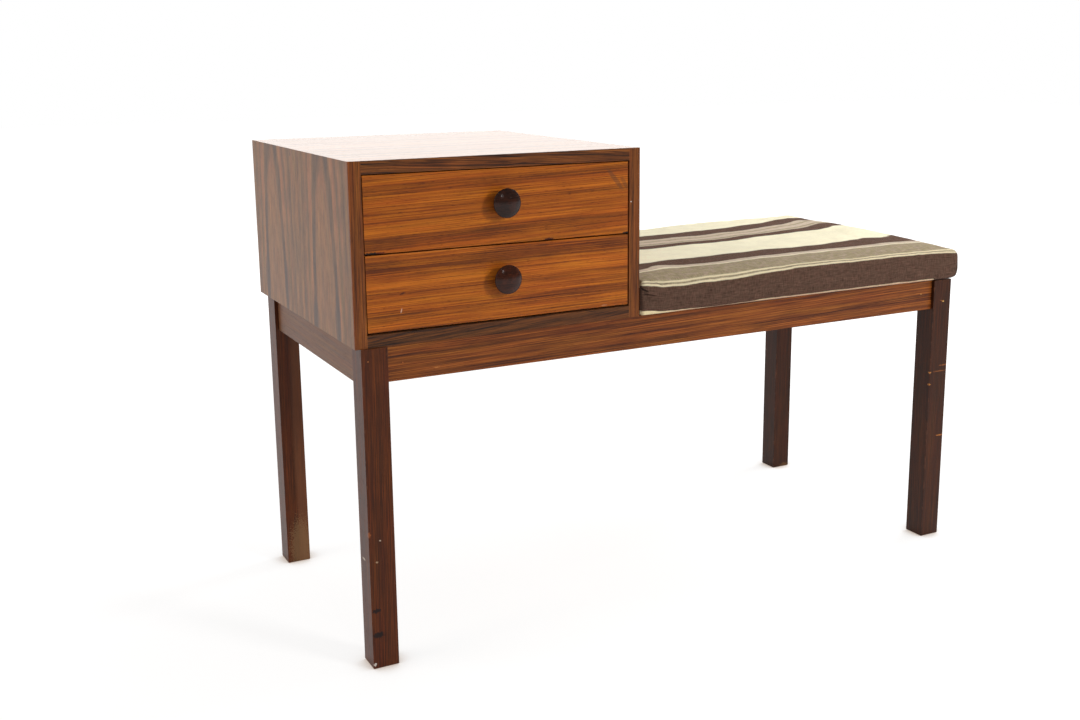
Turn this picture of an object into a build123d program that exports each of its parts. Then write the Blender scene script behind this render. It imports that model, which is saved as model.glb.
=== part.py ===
from build123d import *
import os
from math import sqrt

# A telephone bench: a four-legged rail frame that carries a two-drawer cabinet on its left
# and a loose boxed cushion on its right. Millimetres, +Z up, front towards -Y, left and right
# as seen from the front. The origin is on the floor, in the middle of the whole footprint.

# ---- driving dimensions: the frame of legs and rails ----
frame_length = 900.0  # over the outer faces of the legs
frame_depth = 396.0  # over the outer faces of the legs
frame_height = 392.5  # floor to the tops of legs and rails
leg_width = 32.0  # along X
leg_depth = 32.0  # along Y
foot_chamfer = 1.2
rail_thickness = 20.0
long_rail_height = 42.5  # front, back and middle rails
end_rail_height = 47.5
rail_recess = 5.0  # from a leg's outer face back to a rail's outer face
dowel_diameter = 8.0
dowel_in_rail = 24.0
dowel_in_long_rail = 12.0  # depth of the middle rail's dowels in the long rails
dowel_edge = 11.0  # from a rail's top or bottom edge to the centre of a dowel
dowel_wall = 1.0  # wood left in a leg between the dowels of its two rails

# ---- driving dimensions: seat board, cleats and their screws ----
seat_board_thickness = 9.0
seat_board_gap = 0.5  # all round the board
cleat_width = 18.0
cleat_height = 20.0
cleat_screw_inset = 40.0  # from a cleat's end to its first screw
screw_diameter = 3.5
screw_tip_diameter = 0.7
cleat_screw_length = 32.0
seat_screw_length = 22.0
cabinet_screw_length = 31.0

# ---- driving dimensions: the cabinet ----
cabinet_width = 375.0
cabinet_depth = 408.0
cabinet_height = 212.5
cabinet_overhang = 6.0  # past the left legs
cabinet_setback = 2.0  # behind the front faces of the legs
panel_thickness = 15.0
lipping_depth = 3.0  # solid strips on the panels' front edges
back_thickness = 4.0
back_recess = 2.0
back_rebate = 7.0  # how far the back panel runs over the panels' edges
back_panel_gap = 0.5
spline_thickness = 4.0
spline_width = 12.0
spline_from_corner = 5.0  # from the inner corner along the mitre
spline_stop = 4.0  # from the end of a spline to the back panel
back_pin_count = 3  # along each edge of the back panel
back_pin_inset = 15.0  # from the opening's corners to the first pins
back_pin_length = 16.0
pin_diameter = 1.6
pin_head_diameter = 3.2
pin_head_height = 0.7

# ---- driving dimensions: the drawers ----
drawer_gap_top = 1.2
drawer_gap_between = 1.8
drawer_gap_bottom = 2.5
drawer_gap_left = 1.0
drawer_gap_right = 2.2
drawer_front_thickness = 18.0
drawer_space_behind = 27.0  # from the end of the sides to the back panel
drawer_side_thickness = 12.0
drawer_side_height = 74.0
drawer_side_lift = 4.0  # from the front's lower edge up to the sides
drawer_back_thickness = 10.0
drawer_back_inset = 8.0  # from the end of the sides to the back
drawer_back_drop = 6.0  # from the top of the sides down to the back
drawer_back_housing = 3.0  # depth of the back's housings in the sides
drawer_bottom_thickness = 4.0
drawer_bottom_lift = 6.0  # from the sides' lower edge up to the bottom
drawer_bottom_groove = 5.0
drawer_pin_count = 3
drawer_pin_inset = 15.0  # from the sides to the first pins
drawer_pin_length = 14.0
tail_count = 3
tail_length = 12.0
tail_neck_share = 0.53  # of the pitch of the tails, at the shoulder
tail_slope = 1.0 / 6.0
runner_height = 12.0
runner_reach = 6.0  # how far a runner enters its groove on the side with the smaller gap
runner_space_behind = 52.0  # from the end of a runner to the back panel
runner_clearance = 0.3
runner_groove_depth = 6.5
runner_stop = 30.0  # from the face of the front to the end of the runner groove
runner_screw_count = 3  # in each runner
runner_screw_inset = 30.0
runner_screw_diameter = 3.0
runner_screw_length = 15.0

# ---- driving dimensions: the turned knobs ----
knob_diameter = 35.0
knob_reach = 19.0  # from the drawer front to the top of the dome
knob_rim_reach = 13.0  # from the drawer front to the widest place
knob_rim_height = 2.6
knob_neck_diameter = 17.0
knob_waist_diameter = 15.0
knob_waist_reach = 4.5
knob_above_centre = 4.7  # above the middle of the drawer front
knob_screw_diameter = 4.0
knob_screw_in_knob = 9.0
knob_screw_head_diameter = 8.0
knob_screw_head_height = 2.6

# ---- driving dimensions: the loose cushion ----
cushion_overhang = 11.0  # past the right legs
cushion_proud = 4.0  # past the front and back faces of the legs
cushion_edge_height = 39.0
cushion_crown = 12.0
cushion_drawn_in = 3.0  # how far each side is pulled in between its corners
cushion_corner = 13.0
cushion_corner_growth = 0.25  # of the inset: a smaller outline has rounder corners
cushion_bottom_inset = 7.0
cushion_clearance = 0.4  # to the cabinet and the seat
cover_thickness = 1.6
foam_clearance = 0.3

# ---- fits ----
hole_clearance = 0.05  # round dowels, screws, pins and splines

# ---- datum planes worked out from the sizes above ----
total_length = cabinet_overhang + frame_length + cushion_overhang
total_depth = knob_reach + cabinet_depth
frame_left = cabinet_overhang - total_length / 2
frame_right = frame_left + frame_length
cabinet_front = knob_reach - total_depth / 2
frame_front = cabinet_front - cabinet_setback
frame_back = frame_front + frame_depth
long_rail_bottom = frame_height - long_rail_height
end_rail_bottom = frame_height - end_rail_height
rail_inner_front = frame_front + rail_recess + rail_thickness
rail_inner_back = frame_back - rail_recess - rail_thickness
rail_inner_left = frame_left + rail_recess + rail_thickness
rail_inner_right = frame_right - rail_recess - rail_thickness
leg_inner_left = frame_left + leg_width
leg_inner_right = frame_right - leg_width
leg_inner_front = frame_front + leg_depth
leg_inner_back = frame_back - leg_depth

cabinet_left = frame_left - cabinet_overhang
cabinet_right = cabinet_left + cabinet_width
cabinet_back = cabinet_front + cabinet_depth
cabinet_bottom = frame_height
cabinet_top = cabinet_bottom + cabinet_height
opening_left = cabinet_left + panel_thickness
opening_right = cabinet_right - panel_thickness
opening_bottom = cabinet_bottom + panel_thickness
opening_top = cabinet_top - panel_thickness
back_panel_face = cabinet_back - back_recess
back_panel_seat = back_panel_face - back_thickness
panel_front = cabinet_front + lipping_depth

middle_rail_right = cabinet_right
middle_rail_left = middle_rail_right - rail_thickness
seat_cleat_top = frame_height - seat_board_thickness
cleat_front_face = rail_inner_front + cleat_width
cleat_back_face = rail_inner_back - cleat_width

drawer_gaps = drawer_gap_top + drawer_gap_between + drawer_gap_bottom
drawer_front_height = (opening_top - opening_bottom - drawer_gaps) / 2
drawer_left = opening_left + drawer_gap_left
drawer_right = opening_right - drawer_gap_right
drawer_centre = (drawer_left + drawer_right) / 2
side_inner_left = drawer_left + drawer_side_thickness
side_inner_right = drawer_right - drawer_side_thickness
front_inner = cabinet_front + drawer_front_thickness
sides_end = back_panel_seat - drawer_space_behind
drawer_back_end = sides_end - drawer_back_inset
drawer_back_face = drawer_back_end - drawer_back_thickness
runner_thickness = runner_reach + min(drawer_gap_left, drawer_gap_right)
runner_start = cabinet_front + runner_stop + runner_clearance
runner_end = back_panel_seat - runner_space_behind

cushion_left = cabinet_right + cushion_clearance
cushion_right = frame_right + cushion_overhang
cushion_front = frame_front - cushion_proud
cushion_back = frame_back + cushion_proud
cushion_bottom = frame_height + cushion_clearance

lower_front_bottom = opening_bottom + drawer_gap_bottom
upper_front_bottom = lower_front_bottom + drawer_front_height + drawer_gap_between
drawers = {"lower": lower_front_bottom, "upper": upper_front_bottom}

os.makedirs("parts", exist_ok=True)


# ---- helpers ----
def save(piece, name):
    """Label a finished piece and write it as its own STEP file."""
    piece.part.label = name
    export_step(piece.part, f"parts/{name}.step")


def board(low, high, mode=Mode.ADD):
    """A rectangular board between two opposite corners, in the part that is being built."""
    with BuildSketch(Plane.XY.offset(low[2])) as footprint:
        with Locations(((low[0] + high[0]) / 2, (low[1] + high[1]) / 2)):
            Rectangle(high[0] - low[0], high[1] - low[1])
    extrude(footprint.sketch, amount=high[2] - low[2], mode=mode)


def spread(low, high, count, inset):
    """Evenly spaced places along a piece, the first and last at an inset from its ends."""
    step = (high - low - 2 * inset) / (count - 1)
    return [low + inset + step * index for index in range(count)]


def midpoints(places):
    """The places halfway between neighbouring places."""
    return [(first + second) / 2 for first, second in zip(places, places[1:])]


def driven(point, direction):
    """A plane on a fastener's head, whose Z axis points the way the fastener is driven."""
    return Plane(origin=point, z_dir=direction)


def wood_screws(planes, diameter, length, clearance=0.0, mode=Mode.ADD):
    """Countersunk wood screws with their heads flush in the given planes."""
    shank = diameter / 2 + clearance
    head = diameter + clearance
    tip_start = length - diameter
    with Locations(*planes):
        Cone(head, shank, head - shank, align=(Align.CENTER, Align.CENTER, Align.MIN), mode=mode)
        Cylinder(shank, tip_start, align=(Align.CENTER, Align.CENTER, Align.MIN), mode=mode)
        with Locations((0, 0, tip_start)):
            Cone(
                shank,
                screw_tip_diameter / 2 + clearance,
                diameter + clearance,
                align=(Align.CENTER, Align.CENTER, Align.MIN),
                mode=mode,
            )


def headed_pins(planes, diameter, length, head_diameter, head_height):
    """Pins or bolts with a flat round head that stands on the surface they are driven into."""
    with Locations(*planes):
        Cylinder(diameter / 2, length, align=(Align.CENTER, Align.CENTER, Align.MIN))
        Cylinder(head_diameter / 2, head_height, align=(Align.CENTER, Align.CENTER, Align.MAX))


def round_holes(planes, diameter, depth):
    """Round holes that take a pin, bolt or dowel with the common clearance."""
    with Locations(*planes):
        Cylinder(
            diameter / 2 + hole_clearance,
            depth + hole_clearance,
            align=(Align.CENTER, Align.CENTER, Align.MIN),
            mode=Mode.SUBTRACT,
        )


# ---- dowels of the frame: each is a middle plane, the way it points and its two depths ----
dowel_in_leg_x = leg_width - rail_recess - rail_thickness / 2 - dowel_diameter / 2 - dowel_wall
dowel_in_leg_y = leg_depth - rail_recess - rail_thickness / 2 - dowel_diameter / 2 - dowel_wall
long_rail_dowels = (long_rail_bottom + dowel_edge, frame_height - dowel_edge)
end_rail_dowels = (end_rail_bottom + dowel_edge, frame_height - dowel_edge)
front_rail_middle = rail_inner_front - rail_thickness / 2
back_rail_middle = rail_inner_back + rail_thickness / 2
left_rail_middle = rail_inner_left - rail_thickness / 2
right_rail_middle = rail_inner_right + rail_thickness / 2
middle_rail_middle = (middle_rail_left + middle_rail_right) / 2


def frame_dowels():
    """Every dowel of the frame as (plane on its far end, pointing into the rail, length)."""
    dowels = []
    for z in long_rail_dowels:
        for y in (front_rail_middle, back_rail_middle):
            length = dowel_in_leg_x + dowel_in_rail
            left_end = (leg_inner_left - dowel_in_leg_x, y, z)
            right_end = (leg_inner_right + dowel_in_leg_x, y, z)
            dowels.append((driven(left_end, (1, 0, 0)), length))
            dowels.append((driven(right_end, (-1, 0, 0)), length))
        length = dowel_in_long_rail + dowel_in_rail
        front_end = (middle_rail_middle, rail_inner_front - dowel_in_long_rail, z)
        back_end = (middle_rail_middle, rail_inner_back + dowel_in_long_rail, z)
        dowels.append((driven(front_end, (0, 1, 0)), length))
        dowels.append((driven(back_end, (0, -1, 0)), length))
    for z in end_rail_dowels:
        for x in (left_rail_middle, right_rail_middle):
            length = dowel_in_leg_y + dowel_in_rail
            front_end = (x, leg_inner_front - dowel_in_leg_y, z)
            back_end = (x, leg_inner_back + dowel_in_leg_y, z)
            dowels.append((driven(front_end, (0, 1, 0)), length))
            dowels.append((driven(back_end, (0, -1, 0)), length))
    return dowels


def dowel_holes():
    """The holes of all the frame's dowels, cut from the part that is being built."""
    for plane, length in frame_dowels():
        round_holes([plane.offset(-hole_clearance)], dowel_diameter, length + hole_clearance)


# ---- places of the cleats' and the cabinet's screws ----
seat_cleat_middle = seat_cleat_top - cleat_height / 2
cabinet_cleat_middle = frame_height - cleat_height / 2
seat_cleat_xs = spread(middle_rail_right, leg_inner_right, 3, cleat_screw_inset)
cabinet_cleat_xs = spread(leg_inner_left, middle_rail_left, 3, cleat_screw_inset)
short_cleat_ys = spread(cleat_front_face, cleat_back_face, 2, cleat_screw_inset)
left_cleat_face = middle_rail_right + cleat_width
right_cleat_face = rail_inner_right - cleat_width

cleat_rows = ((seat_cleat_xs, seat_cleat_middle), (cabinet_cleat_xs, cabinet_cleat_middle))
cleat_screw_planes = [
    driven((x, face, z), (0, direction, 0))
    for face, direction in ((cleat_front_face, -1), (cleat_back_face, 1))
    for xs, z in cleat_rows
    for x in xs
]
cleat_screw_planes += [
    driven((face, y, seat_cleat_middle), (direction, 0, 0))
    for face, direction in ((left_cleat_face, -1), (right_cleat_face, 1))
    for y in short_cleat_ys
]

cleat_centre_front = rail_inner_front + cleat_width / 2
cleat_centre_back = rail_inner_back - cleat_width / 2
cleat_centre_left = middle_rail_right + cleat_width / 2
cleat_centre_right = rail_inner_right - cleat_width / 2
seat_screw_points = [
    (x, y, frame_height)
    for x in midpoints(seat_cleat_xs)
    for y in (cleat_centre_front, cleat_centre_back)
]
seat_screw_points += [
    (x, y, frame_height)
    for x in (cleat_centre_left, cleat_centre_right)
    for y in midpoints(short_cleat_ys)
]
seat_screw_planes = [driven(point, (0, 0, -1)) for point in seat_screw_points]
cabinet_screw_planes = [
    driven((x, y, frame_height - cleat_height), (0, 0, 1))
    for x in midpoints(cabinet_cleat_xs)
    for y in (cleat_centre_front, cleat_centre_back)
]


def screw_holes():
    """The holes of the cleats', the seat board's and the cabinet's screws."""
    wood_screws(cleat_screw_planes, screw_diameter, cleat_screw_length, hole_clearance, Mode.SUBTRACT)
    wood_screws(seat_screw_planes, screw_diameter, seat_screw_length, hole_clearance, Mode.SUBTRACT)
    wood_screws(cabinet_screw_planes, screw_diameter, cabinet_screw_length, hole_clearance, Mode.SUBTRACT)


# ---- the frame ----
def make_legs():
    """Four square legs, with the feet's edges just broken."""
    for side, x in (("left", frame_left), ("right", leg_inner_right)):
        for end, y in (("front", frame_front), ("back", leg_inner_back)):
            with BuildPart() as leg:
                board((x, y, 0), (x + leg_width, y + leg_depth, frame_height))
                chamfer(leg.edges().group_by(Axis.Z)[0], foot_chamfer)
                dowel_holes()
            save(leg, f"leg_{end}_{side}")


def make_rails():
    """Front, back, end and middle rails, dowelled to the legs and to each other."""
    front_low = frame_front + rail_recess
    left_low = frame_left + rail_recess
    rails = {
        "front_rail": (
            (leg_inner_left, front_low, long_rail_bottom),
            (leg_inner_right, rail_inner_front, frame_height),
        ),
        "back_rail": (
            (leg_inner_left, rail_inner_back, long_rail_bottom),
            (leg_inner_right, frame_back - rail_recess, frame_height),
        ),
        "left_end_rail": (
            (left_low, leg_inner_front, end_rail_bottom),
            (rail_inner_left, leg_inner_back, frame_height),
        ),
        "right_end_rail": (
            (rail_inner_right, leg_inner_front, end_rail_bottom),
            (frame_right - rail_recess, leg_inner_back, frame_height),
        ),
        "middle_rail": (
            (middle_rail_left, rail_inner_front, long_rail_bottom),
            (middle_rail_right, rail_inner_back, frame_height),
        ),
    }
    for name, (low, high) in rails.items():
        with BuildPart() as rail:
            board(low, high)
            dowel_holes()
            screw_holes()
        save(rail, name)


def make_rail_dowels():
    """The frame's dowels, as one group of separate solids."""
    with BuildPart() as rail_dowels:
        for plane, length in frame_dowels():
            with Locations(plane):
                Cylinder(dowel_diameter / 2, length, align=(Align.CENTER, Align.CENTER, Align.MIN))
    save(rail_dowels, "rail_dowels")


# ---- seat board, cleats and screws ----
def make_seat_board():
    """A plywood board let in between the rails, notched round the right legs."""
    notch = seat_board_gap + leg_width - rail_recess - rail_thickness
    low = (middle_rail_right + seat_board_gap, rail_inner_front + seat_board_gap, seat_cleat_top)
    high = (rail_inner_right - seat_board_gap, rail_inner_back - seat_board_gap, frame_height)
    with BuildPart() as seat_board:
        board(low, high)
        for y in (low[1], high[1]):
            board(
                (high[0] + seat_board_gap - notch, y - notch, low[2]),
                (high[0] + notch, y + notch, high[2]),
                mode=Mode.SUBTRACT,
            )
        screw_holes()
    save(seat_board, "seat_board")


def make_cleats():
    """Strips along the rails that carry the seat board and hold the cabinet down."""
    seat_low = seat_cleat_top - cleat_height
    cabinet_low = frame_height - cleat_height
    cleats = {
        "seat_cleat_front": (
            (middle_rail_right, rail_inner_front, seat_low),
            (leg_inner_right, cleat_front_face, seat_cleat_top),
        ),
        "seat_cleat_back": (
            (middle_rail_right, cleat_back_face, seat_low),
            (leg_inner_right, rail_inner_back, seat_cleat_top),
        ),
        "seat_cleat_left": (
            (middle_rail_right, cleat_front_face, seat_low),
            (left_cleat_face, cleat_back_face, seat_cleat_top),
        ),
        "seat_cleat_right": (
            (right_cleat_face, cleat_front_face, seat_low),
            (rail_inner_right, cleat_back_face, seat_cleat_top),
        ),
        "cabinet_cleat_front": (
            (leg_inner_left, rail_inner_front, cabinet_low),
            (middle_rail_left, cleat_front_face, frame_height),
        ),
        "cabinet_cleat_back": (
            (leg_inner_left, cleat_back_face, cabinet_low),
            (middle_rail_left, rail_inner_back, frame_height),
        ),
    }
    for name, (low, high) in cleats.items():
        with BuildPart() as cleat:
            board(low, high)
            screw_holes()
        save(cleat, name)


def make_frame_screws():
    """The three groups of countersunk screws in the frame."""
    groups = {
        "cleat_screws": (cleat_screw_planes, cleat_screw_length),
        "seat_board_screws": (seat_screw_planes, seat_screw_length),
        "cabinet_screws": (cabinet_screw_planes, cabinet_screw_length),
    }
    for name, (planes, length) in groups.items():
        with BuildPart() as screws:
            wood_screws(planes, screw_diameter, length)
        save(screws, name)


# ---- the cabinet's case ----
def mitre_splines(clearance, mode=Mode.ADD):
    """Loose tongues across the four mitres, or their grooves where a clearance is given."""
    offset = spline_from_corner / sqrt(2)
    length = back_panel_seat - panel_front - spline_stop
    with BuildSketch(Plane.XZ.offset(-panel_front)) as sections:
        for x, outward in ((opening_left, -1), (opening_right, 1)):
            for z, upward in ((opening_bottom, -1), (opening_top, 1)):
                with Locations((x + outward * offset, z + upward * offset)):
                    Rectangle(
                        spline_width + 2 * clearance,
                        spline_thickness + 2 * clearance,
                        rotation=-45 * outward * upward,
                    )
    extrude(sections.sketch, amount=-(length + clearance), mode=mode)


def back_pin_planes():
    """Places of the back panel's pins, along the middle of its seat on each of the four panels."""
    inset = back_rebate / 2
    columns = (opening_left - inset, opening_right + inset)
    rows = (opening_bottom - inset, opening_top + inset)
    heights = spread(opening_bottom, opening_top, back_pin_count, back_pin_inset)
    widths = spread(opening_left, opening_right, back_pin_count, back_pin_inset)
    points = [(x, back_panel_face, z) for x in columns for z in heights]
    points += [(x, back_panel_face, z) for x in widths for z in rows]
    return [driven(point, (0, -1, 0)) for point in points]


def runner_screw_planes():
    """Places of the runners' screws, on the faces that point into the cabinet."""
    planes = []
    for front_bottom in drawers.values():
        z = runner_centre(front_bottom)
        for y in spread(runner_start, runner_end, runner_screw_count, runner_screw_inset):
            planes.append(driven((opening_left + runner_thickness, y, z), (-1, 0, 0)))
            planes.append(driven((opening_right - runner_thickness, y, z), (1, 0, 0)))
    return planes


def runner_centre(front_bottom):
    """Height of the middle of a drawer's runners."""
    return front_bottom + drawer_side_lift + drawer_side_height / 2


def make_case():
    """Four mitred panels, rebated for the back panel, with splines across the mitres."""
    outer = {
        "bottom_left": (cabinet_left, cabinet_bottom),
        "bottom_right": (cabinet_right, cabinet_bottom),
        "top_right": (cabinet_right, cabinet_top),
        "top_left": (cabinet_left, cabinet_top),
    }
    inner = {
        "bottom_left": (opening_left, opening_bottom),
        "bottom_right": (opening_right, opening_bottom),
        "top_right": (opening_right, opening_top),
        "top_left": (opening_left, opening_top),
    }
    panels = {
        "cabinet_left_side": ("top_left", "bottom_left"),
        "cabinet_right_side": ("bottom_right", "top_right"),
        "cabinet_top": ("top_right", "top_left"),
        "cabinet_bottom": ("bottom_left", "bottom_right"),
    }
    rebate_low = (opening_left - back_rebate, back_panel_seat, opening_bottom - back_rebate)
    rebate_high = (opening_right + back_rebate, cabinet_back, opening_top + back_rebate)
    for name, (start, end) in panels.items():
        with BuildPart() as panel:
            with BuildSketch(Plane.XZ.offset(-panel_front)):
                Polygon(outer[start], outer[end], inner[end], inner[start], align=None)
            extrude(amount=-(cabinet_back - panel_front))
            board(rebate_low, rebate_high, mode=Mode.SUBTRACT)
            mitre_splines(hole_clearance, mode=Mode.SUBTRACT)
            round_holes(back_pin_planes(), pin_diameter, back_pin_length)
            wood_screws(
                runner_screw_planes(),
                runner_screw_diameter,
                runner_screw_length,
                hole_clearance,
                Mode.SUBTRACT,
            )
            screw_holes()
        save(panel, name)

    with BuildPart() as splines:
        mitre_splines(0.0)
    save(splines, "mitre_splines")


def make_case_back():
    """The thin back panel in its rebate, and its pins."""
    reach = back_rebate - back_panel_gap
    with BuildPart() as cabinet_back_panel:
        board(
            (opening_left - reach, back_panel_seat, opening_bottom - reach),
            (opening_right + reach, back_panel_face, opening_top + reach),
        )
        round_holes(back_pin_planes(), pin_diameter, back_pin_length)
    save(cabinet_back_panel, "cabinet_back")

    with BuildPart() as back_panel_pins:
        headed_pins(back_pin_planes(), pin_diameter, back_pin_length, pin_head_diameter, pin_head_height)
    save(back_panel_pins, "back_panel_pins")


def make_lippings():
    """Solid strips on the front edges: the upright ones run full height."""
    lippings = {
        "left_lipping": ((cabinet_left, cabinet_bottom), (opening_left, cabinet_top)),
        "right_lipping": ((opening_right, cabinet_bottom), (cabinet_right, cabinet_top)),
        "top_lipping": ((opening_left, opening_top), (opening_right, cabinet_top)),
        "bottom_lipping": ((opening_left, cabinet_bottom), (opening_right, opening_bottom)),
    }
    for name, (low, high) in lippings.items():
        with BuildPart() as lipping:
            board((low[0], cabinet_front, low[1]), (high[0], panel_front, high[1]))
        save(lipping, name)


def make_runners():
    """Hardwood strips screwed to the case, which the drawers' grooved sides slide on."""
    ends = {
        "left": (opening_left, opening_left + runner_thickness),
        "right": (opening_right - runner_thickness, opening_right),
    }
    for level, front_bottom in drawers.items():
        middle = runner_centre(front_bottom)
        for side, (low_x, high_x) in ends.items():
            with BuildPart() as runner:
                board(
                    (low_x, runner_start, middle - runner_height / 2),
                    (high_x, runner_end, middle + runner_height / 2),
                )
                wood_screws(
                    runner_screw_planes(),
                    runner_screw_diameter,
                    runner_screw_length,
                    hole_clearance,
                    Mode.SUBTRACT,
                )
            save(runner, f"{level}_{side}_runner")

    with BuildPart() as runner_screws:
        wood_screws(runner_screw_planes(), runner_screw_diameter, runner_screw_length)
    save(runner_screws, "runner_screws")


# ---- the drawers ----
def tails(side_bottom):
    """Dovetails in side view, wider at their tips, in the sketch that is being drawn."""
    tip = front_inner - tail_length
    pitch = drawer_side_height / tail_count
    neck = pitch * tail_neck_share / 2
    flare = neck + tail_length * tail_slope
    for index in range(tail_count):
        middle = side_bottom + pitch * (index + 0.5)
        Polygon(
            (front_inner, middle - neck),
            (front_inner, middle + neck),
            (tip, middle + flare),
            (tip, middle - flare),
            align=None,
        )


def bottom_groove(bottom_z):
    """The groove for a drawer's bottom, cut from the front and the sides alike."""
    board(
        (
            side_inner_left - drawer_bottom_groove,
            front_inner - drawer_bottom_groove,
            bottom_z - hole_clearance,
        ),
        (
            side_inner_right + drawer_bottom_groove,
            sides_end,
            bottom_z + drawer_bottom_thickness + hole_clearance,
        ),
        mode=Mode.SUBTRACT,
    )


def make_drawer_front(level, front_bottom):
    """The front, with blind sockets for the sides' dovetails and a hole for the knob's screw."""
    side_bottom = front_bottom + drawer_side_lift
    with BuildPart() as front:
        board(
            (drawer_left, cabinet_front, front_bottom),
            (drawer_right, front_inner, front_bottom + drawer_front_height),
        )
        for x in (drawer_left, side_inner_right):
            with BuildSketch(Plane.YZ.offset(x)):
                tails(side_bottom)
            extrude(amount=drawer_side_thickness, mode=Mode.SUBTRACT)
        bottom_groove(side_bottom + drawer_bottom_lift)
        round_holes([knob_screw_plane(front_bottom)], knob_screw_diameter, drawer_front_thickness)
    save(front, f"{level}_drawer_front")


def make_drawer_sides(level, front_bottom):
    """The sides: dovetailed ends, a runner groove outside, bottom groove and housing inside."""
    side_bottom = front_bottom + drawer_side_lift
    side_top = side_bottom + drawer_side_height
    bottom_z = side_bottom + drawer_bottom_lift
    half_groove = runner_height / 2 + runner_clearance
    middle = runner_centre(front_bottom)
    sides = {
        "left": (drawer_left, drawer_left + runner_groove_depth, side_inner_left - drawer_back_housing),
        "right": (side_inner_right, drawer_right, side_inner_right),
    }
    for side, (low_x, groove_high, housing_low) in sides.items():
        groove_low = groove_high - runner_groove_depth
        with BuildPart() as drawer_side:
            board(
                (low_x, front_inner, side_bottom),
                (low_x + drawer_side_thickness, sides_end, side_top),
            )
            with BuildSketch(Plane.YZ.offset(low_x)):
                tails(side_bottom)
            extrude(amount=drawer_side_thickness)
            board(
                (groove_low, cabinet_front + runner_stop, middle - half_groove),
                (groove_high, sides_end, middle + half_groove),
                mode=Mode.SUBTRACT,
            )
            bottom_groove(bottom_z)
            board(
                (housing_low, drawer_back_face, bottom_z),
                (housing_low + drawer_back_housing, drawer_back_end, side_top),
                mode=Mode.SUBTRACT,
            )
        save(drawer_side, f"{level}_drawer_{side}_side")


def make_drawer_back_and_bottom(level, front_bottom):
    """The back in its housings, the bottom in its grooves under the back, and the bottom's pins."""
    side_bottom = front_bottom + drawer_side_lift
    bottom_z = side_bottom + drawer_bottom_lift
    bottom_top = bottom_z + drawer_bottom_thickness
    back_top = side_bottom + drawer_side_height - drawer_back_drop
    pin_y = drawer_back_end - drawer_back_thickness / 2
    pin_xs = spread(side_inner_left, side_inner_right, drawer_pin_count, drawer_pin_inset)
    pin_planes = [driven((x, pin_y, bottom_z), (0, 0, 1)) for x in pin_xs]
    with BuildPart() as drawer_back:
        board(
            (side_inner_left - drawer_back_housing, drawer_back_face, bottom_top),
            (side_inner_right + drawer_back_housing, drawer_back_end, back_top),
        )
        round_holes(pin_planes, pin_diameter, drawer_pin_length)
    save(drawer_back, f"{level}_drawer_back")

    groove = drawer_bottom_groove - hole_clearance
    with BuildPart() as drawer_bottom:
        board(
            (side_inner_left - groove, front_inner - groove, bottom_z),
            (side_inner_right + groove, drawer_back_end, bottom_top),
        )
        round_holes(pin_planes, pin_diameter, drawer_pin_length)
    save(drawer_bottom, f"{level}_drawer_bottom")

    with BuildPart() as bottom_pins:
        headed_pins(pin_planes, pin_diameter, drawer_pin_length, pin_head_diameter, pin_head_height)
    save(bottom_pins, f"{level}_bottom_pins")


def knob_centre(front_bottom):
    """The middle of a knob's foot, on the face of its drawer front."""
    z = front_bottom + drawer_front_height / 2 + knob_above_centre
    return (drawer_centre, cabinet_front, z)


def knob_screw_plane(front_bottom):
    """The seat of a knob screw's head, on the back of the drawer front."""
    x, y, z = knob_centre(front_bottom)
    return driven((x, y + drawer_front_thickness, z), (0, -1, 0))


def make_knob(level, front_bottom):
    """A turned knob: a waisted neck, a flared underside, a rounded rim and a shallow dome."""
    centre = knob_centre(front_bottom)
    rim = knob_diameter / 2
    neck = knob_neck_diameter / 2
    waist = knob_waist_diameter / 2
    rim_low = knob_rim_reach - knob_rim_height / 2
    rim_high = knob_rim_reach + knob_rim_height / 2
    shoulder = rim - knob_rim_height / 2
    dome_height = knob_reach - rim_high
    dome_radius = (shoulder**2 + dome_height**2) / (2 * dome_height)
    dome_side = (shoulder / 2, knob_reach - dome_radius + sqrt(dome_radius**2 - shoulder**2 / 4))
    neck_bend = (waist + (neck - waist) / 4, knob_waist_reach / 2)
    screw_length = drawer_front_thickness + knob_screw_in_knob
    profile_plane = Plane(origin=centre, x_dir=(0, 0, 1), z_dir=(1, 0, 0))
    with BuildPart() as knob:
        with BuildSketch(profile_plane):
            with BuildLine():
                Line((0, 0), (neck, 0))
                ThreePointArc((neck, 0), neck_bend, (waist, knob_waist_reach))
                TangentArc((waist, knob_waist_reach), (shoulder, rim_low), tangent=(0, 1))
                ThreePointArc((shoulder, rim_low), (rim, knob_rim_reach), (shoulder, rim_high))
                ThreePointArc((shoulder, rim_high), dome_side, (0, knob_reach))
                Line((0, knob_reach), (0, 0))
            make_face()
        revolve(axis=Axis(centre, (0, -1, 0)))
        round_holes([knob_screw_plane(front_bottom)], knob_screw_diameter, screw_length)
    save(knob, f"{level}_knob")

    with BuildPart() as knob_screw:
        headed_pins(
            [knob_screw_plane(front_bottom)],
            knob_screw_diameter,
            screw_length,
            knob_screw_head_diameter,
            knob_screw_head_height,
        )
    save(knob_screw, f"{level}_knob_screw")


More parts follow.
